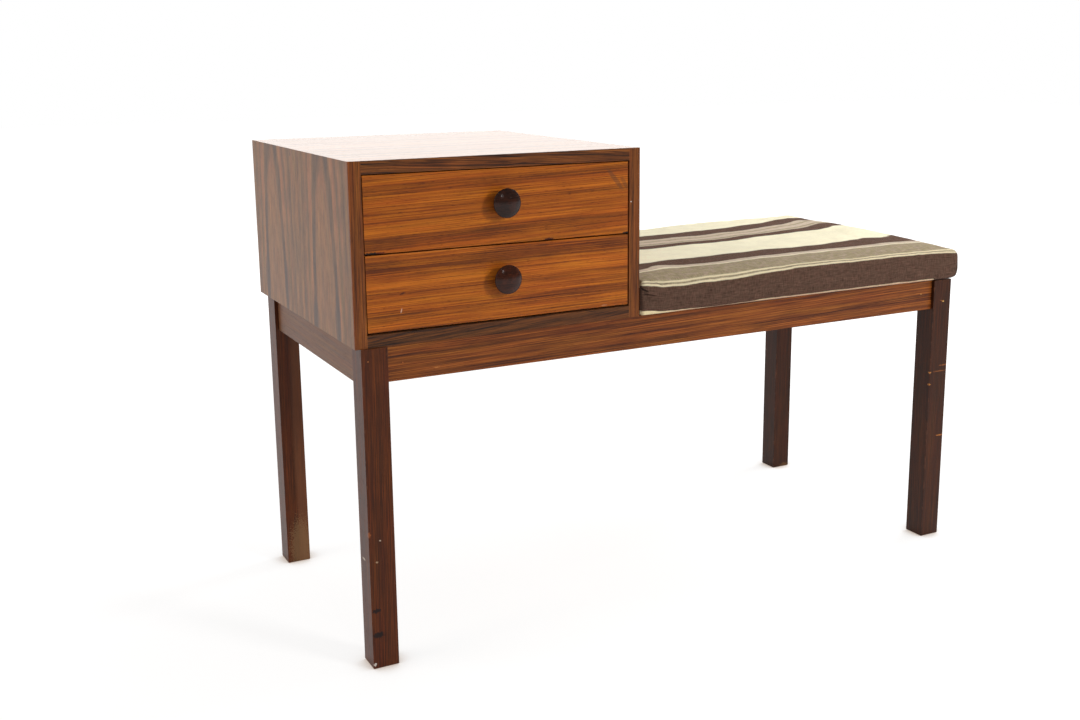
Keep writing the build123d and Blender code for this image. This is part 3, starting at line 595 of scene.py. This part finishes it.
def leg_marks(name, low, high):
    """Marks on each leg: dark knocks, pale chips and a rubbed foot that use has left, and painted light
    on the back left leg, a lighter band down its front face and a lighter foot.
    """
    x, y, _ = low
    marks = {
        "leg_back_left": [
            # painted light: a lighter band down the right of the front face
            ((high.x - 0.004, y, 0.18), (0.013, 0.004, 0.26), (116, 74, 50), 0.55, 0.15),
            # painted light: a lighter patch at the foot
            (((low + high).x / 2 + 0.004, y, 0.02), (0.017, 0.004, 0.05), (150, 116, 80), 0.42, 0.9),
        ],
        "leg_front_left": [
            ((x + 0.006, y, 0.074), (0.006, 0.004, 0.003), (20, 14, 14)),
            ((x + 0.008, y, 0.043), (0.008, 0.004, 0.004), (20, 14, 14)),
            ((x + 0.002, y, 0.006), (0.0022, 0.003, 0.0026), (215, 205, 195), 0.9, 1),
            ((x + 0.009, y, 0.135), (0.002, 0.003, 0.0012), (170, 140, 110), 0.8),
            ((x + 0.014, y, 0.161), (0.0012, 0.003, 0.0012), (200, 180, 160), 0.8),
            ((x, y + 0.02, 0.134), (0.003, 0.005, 0.0015), (205, 190, 170), 0.8),
            ((x + 0.008, y, 0.378), (0.001, 0.003, 0.0009), (176, 106, 56), 0.7, 0.4),
            ((x, y, 0.17), (0.003, 0.003, 0.004), (150, 84, 46), 0.8),
        ],
        "leg_front_right": [
            ((x + 0.016, y, 0.3615), (0.0045, 0.003, 0.0008), (150, 92, 50), 0.7, 0.6, -16),
            ((x + 0.019, y, 0.3605), (0.0016, 0.003, 0.0013), (206, 160, 84), 0.9, 0.4),
            ((x + 0.026, y, 0.264), (0.009, 0.003, 0.001), (150, 88, 44), 0.7),
            ((x + 0.019, y, 0.2555), (0.013, 0.003, 0.001), (150, 88, 44), 0.6),
            ((x, y, 0.255), (0.003, 0.004, 0.0016), (190, 124, 60), 0.8),
            ((x, y, 0.237), (0.003, 0.004, 0.0016), (190, 124, 60), 0.8),
            ((x + 0.026, y, 0.156), (0.008, 0.004, 0.0012), (176, 106, 46), 0.8),
        ],
        "leg_back_right": [
            ((high.x - 0.008, y, 0), (0.012, 0.005, 0.007), (120, 84, 46), 0.45, 1.2),
        ],
    }
    return marks[name]


def make_legs():
    """Dark stained legs, worn on their edges, marked by use, and with painted light on the back left one.
    """
    for seed, (name, tone) in enumerate(LEG_TONE.items()):
        low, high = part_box(name)
        centre = (low + high) / 2
        palette = [[tone * value for value in colour] for colour in STAIN]
        wood(
            name, (centre.x + 0.05, centre.y + 0.04, centre.z), (0.01, 0.005, 1), X, palette,
            seed=seed * 4 + 30, contrast=0.75, broad=0.7, pores=0.3, cloud=0.2,
            roughness=0.38, gloss=0.17, wander=4, marks=leg_marks(name, low, high),
            worn=(low, high, (104, 62, 40), 0.4),
        )


# ---- plain woods, knobs and metal ----
BEECH_ENDINGS = (
    "_drawer_left_side", "_drawer_right_side", "_drawer_back", "_runner", "middle_rail", "rail_dowels",
    "mitre_splines",
)
PLYWOOD_ENDINGS = ("seat_board", "cabinet_back", "_drawer_bottom")


def plain_wood(name):
    """Palette, contrast and lines of a piece that hardly shows, or None for any other piece."""
    if name.endswith(BEECH_ENDINGS):
        return BEECH, 0.5, 0.0
    if "_cleat_" in name:
        return PINE, 0.9, 0.15
    if name.endswith(PLYWOOD_ENDINGS):
        return PLYWOOD, 0.8, 0.05
    return None


def make_plain_woods():
    """Beech, pine and plywood, grained along each piece's longest side."""
    for seed, name in enumerate(sorted(nodes)):
        kind = plain_wood(name)
        if not kind:
            continue
        palette, contrast, lines = kind
        low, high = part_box(name)
        centre = (low + high) / 2
        size = high - low
        longest = max(range(3), key=lambda axis: size[axis])
        shortest = min(range(3), key=lambda axis: size[axis])
        wood(
            name, (centre.x + 0.03, centre.y + 0.04, centre.z + 0.05),
            (X, Y, Z)[longest], (X, Y, Z)[3 - longest - shortest], palette,
            seed=seed * 1.7, contrast=contrast, lines=lines, pores=0.15, roughness=0.6, gloss=0.3,
        )


def make_knobs():
    """Turned knobs, almost black, with a little brown grain and fine wear."""
    for level, palette in KNOB_WOOD.items():
        tree = new_tree(f"{level}_knob")
        grain = tree.noise(tree.vector("MULTIPLY", tree.place, (90, 60, 900)), 4, 0.6)
        blotch = tree.noise(tree.vector("SCALE", tree.place, 120), 3)
        dark, middle, light = palette
        colour = tree.ramp(grain, [(0.3, dark), (0.6, middle), (0.75, light)])
        colour = tree.mix(tree.smooth(blotch, 0.45, 0.7, 0, 0.5), colour, light)
        scuff = tree.noise(tree.vector("SCALE", tree.place, 1500), 4, 0.7)
        rough = tree.smooth(scuff, 0.3, 0.75, 0.12, 0.24)
        normal = tree.bump(grain, 0.00008)
        material = tree.finish(Base_Color=colour, Roughness=rough, Normal=normal, Specular_IOR_Level=0.2)
        shade(f"{level}_knob", material)


def make_metal():
    """Plain zinc screws and pins."""
    tree = new_tree("zinc")
    blotch = tree.noise(tree.vector("SCALE", tree.place, 900), 4, 0.6)
    colour = tree.ramp(blotch, [(0.3, ZINC[0]), (0.7, ZINC[1])])
    rough = tree.smooth(blotch, 0.3, 0.7, 0.3, 0.5)
    material = tree.finish(Base_Color=colour, Roughness=rough, Metallic=1)
    for name in nodes:
        if name.endswith(("_screws", "_pins", "_screw")):
            shade(name, material)


make_fronts()
make_case()
make_lippings()
make_rails()
make_legs()
make_plain_woods()
make_knobs()
make_metal()


# ---- the cushion ----
FINE_CELL = 0.003  # where the cover is folded, at its front left corner
CELL = 0.0065
FINE_ALONG = 0.06  # how far the fine cells reach along the front
FINE_DEEP = 0.027  # and towards the back
TOP_RIM = np.array((0.0045, 0.011, 0.0085))  # rounding of the corners and of the top edges
FOOT_RIM = np.array((0.004, 0.006, 0.0045))
RIGHT_TOP_RIM = np.array((0.01, 0.01, 0.0115))
RIGHT_FOOT_RIM = np.array((0.018, 0.0055, 0.0115))
RIM_HEIGHT = 0.0458  # underside to the flat behind the front edge
CROWN = 0.0052  # how much the top rises from front to back
DRAWN_IN = 0.0025  # at the top and foot of the sides
SIDE_BULGE = 0.0015  # how much less that is halfway up
LEFT_GAP = 0.0003  # to the cabinet
SEAT_GAP = 0.0002  # to the seat board
RIGHT_PROUD = 0.0036  # how far the right end is set past the solid's
HELD_RISE = 0.12  # the lowest share of the height, which is held still
SIM_FRAMES = 20
SIM_CAP = 0.0015  # the farthest that the simulation may move a point
CLOTH = {
    "quality": 6,
    "mass": 0.15,
    "tension_stiffness": 20,
    "compression_stiffness": 20,
    "shear_stiffness": 8,
    "bending_stiffness": 0.6,
    "use_pressure": True,
    "uniform_pressure_force": 4,
    "vertex_group_mass": "held",
    "vertex_group_shrink": "seams",
    "shrink_min": -0.012,
    "shrink_max": 0.02,
}
RIPPLES = ((0.05, 0.0009), (0.017, 0.0003))  # wave length and height of the loose cloth
# folds by (along, across) on the cloth, from and to, with half width and depth, all in millimetres
FOLDS = (
    ((-4, -10), (11, -21), 2.6, 3.4),
    ((3, -21), (24, -28), 2.4, 2),
    ((10, -34), (40, -37), 3.4, 1),
    ((13, 7), (41, -12), 2.8, 2),
    ((452, 118), (486, 222), 9, 1.6),
    ((186, 132), (244, 168), 15, 1.1),
    ((46, 60), (96, 40), 8, 1),
    ((330, 150), (400, 172), 12, 0.7),
)
# folds narrower than SHARP_FOLD get painted shade in their colour
SHARP_FOLD = 2.7  # folds narrower than this hold shade
# painted shade in creases, by (along, across): middle, half length, half width, fall in degrees, darkness
CREASES = (
    (3.2, -14.6, 9.5, 1.5, 16, 1),
    (12.5, -20.5, 12, 1.1, 6, 0.95),
    (14.3, -27.5, 11, 0.8, 3, 0.35),
    (27, -4, 9, 0.6, 33, 0.9),
)
SEAM_DEPTH = 0.0009  # the seam round the right end
# tugs on the cloth at (along, across), their reach both ways, and how far they pull, in millimetres
TUGS = (
    (66, 68, 24, 17, 9), (62, 98, 24, 20, -5), (70, -4, 45, 10, -1.5), (120, 190, 25, 25, -7),
    (264, 115, 25, 25, 4), (315, 108, 22, 22, -4), (346, 76, 25, 16, 5), (339, 215, 30, 22, 6),
    (369, 112, 28, 25, -7), (433, 114, 32, 30, -6), (500, 120, 36, 36, -12), (455, 74, 28, 18, -4),
    (478, 226, 45, 24, -8), (0, -3, 18, 13, 4), (350, -2, 110, 14, 2.5), (450, 212, 40, 26, -4),
    (515, 88, 35, 40, -8),
)

# FRONT_CREAM and FRONT_BROWN are the top's cream and brown coloured apart for the front, for the
# different light on front and top: painted light and shade
CREAM = (253, 245, 214)
FRONT_CREAM = (240, 226, 190)
FOOT_CREAM = (255, 236, 190)
FOOT_PINK = (236, 196, 168)
BROWN = (92, 65, 49)
FRONT_BROWN = (95, 72, 60)
PLUM = (101, 74, 62)
GREY = (160, 146, 114)
PINK_GREY = (170, 151, 129)
PALE = (206, 188, 166)
# the stripes by millimetres across the cloth
STRIPES = (
    (-45, FOOT_CREAM), (-44, FRONT_BROWN), (-9.5, FRONT_BROWN), (-8.5, FRONT_CREAM), (-6, FRONT_CREAM),
    (-5.2, BROWN), (-3.4, GREY), (-2.6, FRONT_CREAM), (0, FRONT_CREAM), (1.5, GREY), (47, GREY),
    (49, CREAM), (52, PALE), (61, PALE), (63, BROWN), (100.5, BROWN), (102.5, CREAM), (194, CREAM),
    (196, BROWN), (216, BROWN), (218, PALE), (226, GREY), (229, PALE), (242, PALE), (245, GREY),
    (251, PALE), (262, PALE), (264, BROWN), (300, BROWN), (302, CREAM),
)
FOOT_TINT = ((-62, 0), (-50, 0.9), (-45.4, 0.9), (-44.6, 0))  # pink at the front's foot


def steps(length, fine_length):
    """Places along one side of the cover: fine cells first, wider ones after."""
    fine = np.linspace(0, fine_length, round(fine_length / FINE_CELL) + 1)
    wide = np.linspace(fine_length, length, round((length - fine_length) / CELL) + 1)
    return np.concatenate((fine, wide[1:]))


def box_lattice(counts):
    """Whole-number places and faces of a closed box whose six sides are grids."""
    places = {}
    faces = []
    for axis in range(3):
        first, second = (axis + 1) % 3, (axis + 2) % 3
        for end, i, j in product((0, counts[axis]), range(counts[first]), range(counts[second])):
            corners = []
            for step_i, step_j in ((0, 0), (1, 0), (1, 1), (0, 1)):
                place = [0, 0, 0]
                place[axis] = end
                place[first] = i + step_i
                place[second] = j + step_j
                corners.append(places.setdefault(tuple(place), len(places)))
            faces.append(corners if end else corners[::-1])
    return np.array(list(places)), faces


def bell(value, centre, width):
    """1 at the centre, falling off smoothly over the width."""
    return np.exp(-(((value - centre) / width) ** 2))


def ease(value, low, high):
    """0 up to low and 1 from high on, smooth between."""
    share = np.clip((value - low) / (high - low), 0, 1)
    return share * share * (3 - 2 * share)


def pillow_height(across, deep):
    """Height of the pad's top above the seat, by share of its width and of its depth."""
    rise = RIM_HEIGHT - SIM_CAP + CROWN * (1 - (1 - deep) ** 3)
    worn_right = (0.0018 * bell(deep, 0.1, 0.16) - 0.0016 * bell(deep, 0.55, 0.2)) * across**8
    sunk_back = 0.005 * (1 - ease(across, 0.3, 0.68)) * deep**7
    middle_front = 0.0012 * bell(across, 0.45, 0.3) * (1 - deep) ** 4
    left_hump = 0.0016 * (1 - ease(across, 0.045, 0.068)) * bell(deep, 0.02, 0.045)
    left_hump += 0.0014 * bell(across, 0.12, 0.04) * bell(deep, 0.16, 0.06)
    return rise - worn_right - sunk_back + middle_front + left_hump


def cushion_mesh(low, high):
    """The pillow before it is simulated, with its fabric coordinates and its seams."""
    size = np.array((high.x - low.x, high.y - low.y, RIM_HEIGHT))
    sides = [steps(size[0], FINE_ALONG), steps(size[1], FINE_DEEP), steps(size[2], 0)]
    counts = [len(side) - 1 for side in sides]
    lattice, faces = box_lattice(counts)
    place = np.stack([side[lattice[:, axis]] for axis, side in enumerate(sides)], axis=1)
    half = size / 2
    flat = place - half
    rise = place[:, 2] / size[2]
    top_share = ease(rise, 0.35, 0.65)[:, None]
    right_share = ease(place[:, 0] / size[0], 0.8, 1)[:, None]
    loose_share = ease(place[:, 0] / size[0], 0.05, 0.5)[:, None]
    foot_rim = FOOT_RIM * (1 - loose_share) + RIGHT_FOOT_RIM * loose_share
    top_rim = TOP_RIM * (1 - right_share) + RIGHT_TOP_RIM * right_share
    radius = foot_rim * (1 - top_share) + top_rim * top_share
    inner = np.clip(flat, radius - half, half - radius)
    outward = (flat - inner) / radius
    points = inner + radius * outward / np.linalg.norm(outward, axis=1)[:, None]
    across, deep = points[:, 0] / half[0], points[:, 1] / half[1]
    rise = (points[:, 2] / half[2] + 1) / 2
    points[:, 2] = rise * pillow_height((across + 1) / 2, (deep + 1) / 2)
    bulge = SIDE_BULGE * (1 - (2 * rise - 1) ** 2) - DRAWN_IN
    points[:, 1] += deep * bulge * (1 - across**2) * np.abs(deep) ** 4
    points[:, 0] += across * bulge * (1 - deep**2) * np.abs(across) ** 4
    points += np.array(((low.x + high.x) / 2, (low.y + high.y) / 2, low.z))
    fabric = fabric_place(lattice, counts, place, size)
    edge = (lattice == 0) | (lattice == counts)
    seam = edge[:, 0] & (edge[:, 1] | edge[:, 2])
    return points, faces, fabric, seam, rise


def fabric_place(lattice, counts, place, size):
    """Millimetres along and across the cloth; across is 0 on the front's top edge."""
    along, back, up = place.T
    left, front, bottom = (lattice == 0).T
    right, rear, top = (lattice == counts).T
    inside = ~(front | rear | bottom | top)
    fall, gap = size[2] - up, size[1] - back
    nearest = np.argmin((back, fall, gap), axis=0)
    left_along = np.choose(nearest, (-back, -fall, -gap))
    left_across = np.choose(nearest, (-fall, back, size[1] + fall))
    across = np.select(
        (left & inside, right & inside, top, front, rear, bottom),
        (left_across, -fall, back, -fall, size[1] + size[2] - up, -size[2] - back),
    )
    along = np.select((left & inside, right & inside), (left_along, back), along)
    along, across = along * 1000, across * 1000
    return np.stack((along, across - pulled(along, across), right.astype(float)), axis=1)


def pulled(along, across):
    """How far the cloth is pulled towards the back, more so at its right end, in millimetres."""
    share = np.clip((along - 200) / 340, 0, 0.9)
    on_top = ease(across, 0, 220)
    on_front = np.clip(-across / 46, 0, 1)
    pull = (4.3 * ease(along, 130, 250) + 3 * ease(along, 380, 460)) * (1 - on_top)
    pull += 68 * share**2.2 * on_top + 3 * ease(along, 180, 260) * bell(across, 75, 35)
    pull -= (3 * ease(along, 40, 130) + 2 * ease(along, 200, 260) + 3 * ease(along, 425, 455)) * on_front
    pull -= (6 + 16 * ease(-across, 42, 50)) * ease(along, 490, 515) * on_front
    end_pull = 4 * bell(across, 272, 22) - 8 * bell(across, 225, 28) + 8 * bell(across, 322, 28)
    pull += ease(along, 430, 520) * end_pull
    pull -= 8 * (1 - ease(along, 0, 90)) * bell(across, 85, 50)
    pull += 6.75 * (1 - ease(along, 0, 40)) * on_front**2 - 2 * ease(along, 40, 120) * on_front**4
    for tug_along, tug_across, reach_along, reach_across, amount in TUGS:
        pull += amount * bell(along, tug_along, reach_along) * bell(across, tug_across, reach_across)
    return np.where(across > np.where(along > 495, -80, -46), pull, 0)


def points_of(mesh):
    return np.array([v.co for v in mesh.vertices])


def set_points(mesh, points):
    mesh.vertices.foreach_set("co", points.astype(np.float32).ravel())
    mesh.update()


def evaluated_mesh(piece):
    """A new mesh of the piece as its modifiers leave it."""
    graph = bpy.context.evaluated_depsgraph_get()
    return bpy.data.meshes.new_from_object(piece.evaluated_get(graph))


def add_group(piece, name, weights):
    """A vertex group with each point's weight, where that isn't zero."""
    group = piece.vertex_groups.new(name=name)
    for index in np.flatnonzero(weights):
        group.add([int(index)], float(weights[index]), "REPLACE")


def simulate(piece, seam, held):
    """Where the points go as the cover is blown up a little, none farther than the cap."""
    start = points_of(piece.data)
    add_group(piece, "held", held)
    add_group(piece, "seams", seam)
    modifier = piece.modifiers.new("cover", "CLOTH")
    for key, value in CLOTH.items():
        setattr(modifier.settings, key, value)
    modifier.settings.effector_weights.gravity = 0
    modifier.collision_settings.use_collision = False
    for step in range(1, SIM_FRAMES + 1):
        bpy.context.scene.frame_set(step)
    result = evaluated_mesh(piece)
    shift = points_of(result) - start
    bpy.data.meshes.remove(result)
    piece.modifiers.remove(modifier)
    piece.vertex_groups.clear()
    bpy.context.scene.frame_set(1)
    length = np.linalg.norm(shift, axis=1)[:, None]
    shift *= np.minimum(1, SIM_CAP / np.maximum(length, 1e-9))
    return start + shift


def normals_of(mesh):
    found = np.zeros(len(mesh.vertices) * 3, np.float32)
    mesh.vertices.foreach_get("normal", found)
    return found.reshape(-1, 3).astype(float)


def fold_depth(points, start, end, width, depth):
    """How deep a fold between two points presses in each point of the cloth."""
    run = end - start
    share = np.clip((points - start) @ run / (run @ run), 0, 1)
    distance = np.linalg.norm(points - start - share[:, None] * run, axis=1)
    return depth * bell(distance, 0, width) * np.sin(np.pi * (0.15 + 0.7 * share))


def folded(points, normals, seam, low):
    """The cloth with its folds, seam and ripples pressed in, and the painted shade of its seam and sharp
    folds.
    """
    corner = np.array((low.x, low.y, low.z + RIM_HEIGHT))
    # painted shade along the seam and in sharp folds
    dark = 0.6 * seam**4
    press = SEAM_DEPTH * seam**2
    for start, end, width, depth in FOLDS:
        ends = [
            corner + np.array((along, max(across, 0), min(across, 0))) / 1000
            for along, across in (start, end)
        ]
        depths = fold_depth(points, *ends, width / 1000, depth / 1000)
        press += depths
        if width < SHARP_FOLD:
            dark += (depths * 1000 / depth) ** 2 * min(1, depth / 3)
    for length, height in RIPPLES:
        press += height * np.array([noise.noise(Vector(p) / length) for p in points])
    press *= ease(points[:, 2], low.z + 0.004, low.z + 0.016)
    return points - normals * press[:, None], np.clip(dark, 0, 1)


def add_attribute(mesh, name, kind, key, values):
    attribute = mesh.attributes.new(name, kind, "POINT")
    attribute.data.foreach_set(key, values.astype(np.float32).ravel())


def fold_cover(piece, low):
    """Makes the cover's cells finer and presses the folds in."""
    coarse = piece.data
    finer = piece.modifiers.new("finer", "SUBSURF")
    finer.levels = 1
    finer.render_levels = 1
    mesh = evaluated_mesh(piece)
    piece.modifiers.remove(finer)
    piece.data = mesh
    bpy.data.meshes.remove(coarse)
    mesh.name = "seat_cushion"
    folds = mesh.attributes["folds"].data
    seam = np.zeros(len(mesh.vertices), np.float32)
    folds.foreach_get("value", seam)
    points, dark = folded(points_of(mesh), normals_of(mesh), seam, low)
    # the folds attribute now holds the painted shade
    folds.foreach_set("value", dark.astype(np.float32))
    points[:, 2] = np.maximum(points[:, 2], low.z)
    points[:, 0] = np.maximum(points[:, 0], low.x)
    set_points(mesh, points)
    for polygon in mesh.polygons:
        polygon.use_smooth = True


def make_cushion():
    """The loose seat cushion: simulated cover, folds at its left corner, woven stripes."""
    low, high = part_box("cushion_cover")
    low = Vector((low.x + LEFT_GAP, low.y, low.z + SEAT_GAP))
    high = Vector((high.x + RIGHT_PROUD, high.y, high.z))
    points, faces, fabric, seam, rise = cushion_mesh(low, high)
    mesh = bpy.data.meshes.new("seat_cushion")
    mesh.from_pydata([tuple(p) for p in points], [], faces)
    piece = add_object("seat_cushion", mesh)
    set_points(mesh, simulate(piece, seam, rise < HELD_RISE))
    add_attribute(mesh, "fabric", "FLOAT_VECTOR", "vector", fabric)
    # the right end's seam, turned into painted shade once the cover is folded
    add_attribute(mesh, "folds", "FLOAT", "value", seam * fabric[:, 2])
    fold_cover(piece, low)
    piece.data.materials.clear()
    piece.data.materials.append(cushion_material())
    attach(piece, "cushion")
    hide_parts("cushion_cover", "cushion_foam")


def stripe_colour(tree, along, across, end):
    """The stripes with uneven edges, the tint at their foot, and the plain right end."""
    shifted = across
    for length, width, seed, amount in ((40, 90, 0, 5), (12, 0.8, 3, 2)):
        uneven = tree.signed_noise(tree.stretched(along, across, length, width, seed), 3)
        shifted = tree.scale_add(uneven, amount, shifted)
    stripes = tree.ramp(shifted, STRIPES)
    foot = tree.times(tree.ramp(across, FOOT_TINT), tree.smooth(along, 25, 80))
    stripes = tree.mix(foot, stripes, FOOT_PINK)
    return tree.mix(tree.smooth(end, 0.96, 0.99), stripes, FRONT_BROWN)


def patchy(tree, fabric, colour, paleness):
    """Plum patches in the brown stripes and pink ones in the grey stripes."""
    patches = tree.smooth(tree.noise(tree.vector("SCALE", fabric, 0.12), 3), 0.42, 0.62)
    dark_cloth = tree.smooth(paleness, 0.07, 0.16, 0.6, 0)
    colour = tree.mix(tree.times(patches, dark_cloth), colour, PLUM)
    grey_cloth = tree.math("COMPARE", paleness, 0.29, 0.04)
    return tree.mix(tree.times(patches, grey_cloth), colour, PINK_GREY)


def fold_shade(tree, along, across):
    """The painted shade in the cloth's folds and creases, from 0 to 1."""
    folds = tree.node("Attribute", attribute_name="folds").outputs["Fac"]
    for middle_along, middle_across, half_length, half_width, fall, darkness in CREASES:
        middle = (middle_along, middle_across, 0)
        offset = tree.vector("SUBTRACT", tree.combine(along, across, 0), middle)
        offset = tree.turned(offset, fall, "Z_AXIS")
        away = tree.length(tree.vector("DIVIDE", offset, (half_length, half_width, 1)))
        folds = tree.math("MAXIMUM", folds, tree.smooth(away, 0.5, 1.1, darkness, 0))
    return folds


def cushion_material():
    """Striped wool cloth, woven, with uneven threads and painted shade in its folds and creases."""
    tree = new_tree("striped_cloth")
    fabric = tree.node("Attribute", attribute_name="fabric").outputs["Vector"]
    along, across, end = tree.separate(fabric)
    stripes = stripe_colour(tree, along, across, end)
    paleness = tree.node("RGBToBW", {0: stripes}).outputs[0]
    colour = patchy(tree, fabric, stripes, paleness)
    slubs = tree.noise(tree.stretched(along, across, 11, 1.3, 8), 3)
    cross_slubs = tree.noise(tree.stretched(along, across, 1.4, 8, 17), 3)
    threads = tree.math("SUBTRACT", tree.math("ADD", slubs, cross_slubs), 1)
    mottle = tree.smooth(paleness, 0.05, 0.8, 1.3, 0.2)
    # lighter and darker in broad blotches
    broad_blotches = tree.signed_noise(tree.vector("SCALE", fabric, 0.035), 3)
    level = tree.scale_add(threads, mottle, tree.scale_add(broad_blotches, 0.2, 1))
    coarse = tree.grain(along, across, 24, 3, 31, 3)
    level = tree.scale_add(coarse, tree.times(mottle, 0.55), level)
    # painted shade in folds and creases darkens the cloth
    level = tree.times(level, tree.scale_add(fold_shade(tree, along, across), -0.75, 1))
    warp, weft = (tree.math("SINE", tree.times(way, 5.2)) for way in (along, across))
    fuzz = tree.noise(tree.vector("SCALE", fabric, 2.2), 4, 0.7)
    height = tree.scale_add(fuzz, 0.8, tree.times(tree.times(warp, weft), 0.5))
    return tree.finish(
        Base_Color=tree.vector("SCALE", colour, tree.math("MAXIMUM", level, 0.1)),
        Roughness=0.92,
        Normal=tree.bump(tree.scale_add(threads, 0.8, height), 0.0004),
        Sheen_Weight=0.03,
        Sheen_Roughness=0.5,
        Specular_IOR_Level=0.1,
    )


make_cushion()


# ---- floor, backdrop and light ----
def make_floor():
    """A white floor that glows and shows the object's faint shadow, with painted contact shade round the
    feet.
    """
    corners = [(x * FLOOR_REACH, y * FLOOR_REACH, 0) for x, y in ((-1, -1), (1, -1), (1, 1), (-1, 1))]
    mesh = bpy.data.meshes.new("floor")
    mesh.from_pydata(corners, [], [(0, 1, 2, 3)])
    tree = new_tree("floor")
    path = tree.node("LightPath")
    seen = tree.math("MAXIMUM", path.outputs["Is Camera Ray"], path.outputs["Is Glossy Ray"])
    far = tree.smooth(tree.length(tree.place), *GLOW_REACH, FLOOR_GLOW, 1)
    # painted contact shade: the glow is tinted darker close to the object
    near = tree.node("AmbientOcclusion", {"Distance": CONTACT_REACH}, samples=8)
    tint = tree.mix(tree.smooth(near.outputs["AO"], 0.35, 0.95), CONTACT_SHADE, WHITE)
    glow = tree.node("Emission", {"Color": tint, "Strength": far})
    matte = tree.node("BsdfDiffuse", {"Color": (FLOOR_SHADE,) * 3 + (1,)})
    both = tree.node("AddShader", {0: glow.outputs[0], 1: matte.outputs[0]})
    plain = tree.node("BsdfDiffuse", {"Color": UNSEEN_FLOOR})
    choose = tree.node("MixShader", {0: seen, 1: plain.outputs[0], 2: both.outputs[0]})
    tree.feed(tree.graph.nodes["Material Output"].inputs[0], choose.outputs[0])
    mesh.materials.append(tree.owner)
    floor = add_object("floor", mesh)


def make_world():
    """White where the camera sees it, dimmer in front where gloss mirrors the studio."""
    world = bpy.data.worlds.new("studio")
    bpy.context.scene.world = world
    tree = Tree(world)
    path = tree.node("LightPath").outputs
    towards_back = tree.separate(tree.coordinates["Generated"])["Y"]
    mirrored = tree.map_range(towards_back, -0.3, 0.7, MIRRORED_FRONT, 1)
    lit = tree.map_range(path["Is Glossy Ray"], 0, 1, WORLD_LIGHT, mirrored)
    through = tree.map_range(path["Is Transmission Ray"], 0, 1, lit, 1)
    seen = tree.map_range(path["Is Camera Ray"], 0, 1, through, 1)
    tree.finish(Color=tree.mix(path["Is Glossy Ray"], WHITE, MIRRORED_TINT), Strength=seen)


def area_light(name, place, target, size, power, colour, mirrored):
    """A rectangular lamp that points at its target."""
    data = bpy.data.lights.new(name, "AREA")
    data.shape = "RECTANGLE"
    data.size, data.size_y = size
    data.energy = power
    data.color = colour
    light = add_object(name, data)
    light.location = place
    light.visible_glossy = mirrored
    light.rotation_euler = (Vector(target) - Vector(place)).to_track_quat("-Z", "Y").to_euler()


def make_camera():
    """The photograph's view: direction, roll and shifted centre."""
    flat = math.cos(VIEW_ELEVATION)
    forward = (-math.sin(VIEW_AZIMUTH) * flat, math.cos(VIEW_AZIMUTH) * flat, -math.sin(VIEW_ELEVATION))
    forward = Vector(forward)
    level = forward.cross(Vector(Z)).normalized()
    upward = level.cross(forward)
    right = math.cos(VIEW_ROLL) * level + math.sin(VIEW_ROLL) * upward
    up = math.cos(VIEW_ROLL) * upward - math.sin(VIEW_ROLL) * level
    data = bpy.data.cameras.new("view")
    data.sensor_fit = "HORIZONTAL"
    data.sensor_width = SENSOR_WIDTH
    data.lens = FOCAL_PIXELS / IMAGE_SIZE[0] * SENSOR_WIDTH
    data.shift_x = (IMAGE_SIZE[0] / 2 - VIEW_CENTRE[0]) / IMAGE_SIZE[0]
    data.shift_y = (VIEW_CENTRE[1] - IMAGE_SIZE[1] / 2) / IMAGE_SIZE[0]
    data.clip_start = NEAREST
    camera = add_object("view", data)
    axes = Matrix((right, up, -forward)).transposed().to_4x4()
    camera.matrix_world = Matrix.Translation(CAMERA_PLACE) @ axes
    bpy.context.scene.camera = camera


make_floor()
make_world()
for lamp, settings in LAMPS.items():
    area_light(lamp, *settings)
make_camera()
bpy.context.scene.view_settings.view_transform = "Standard"
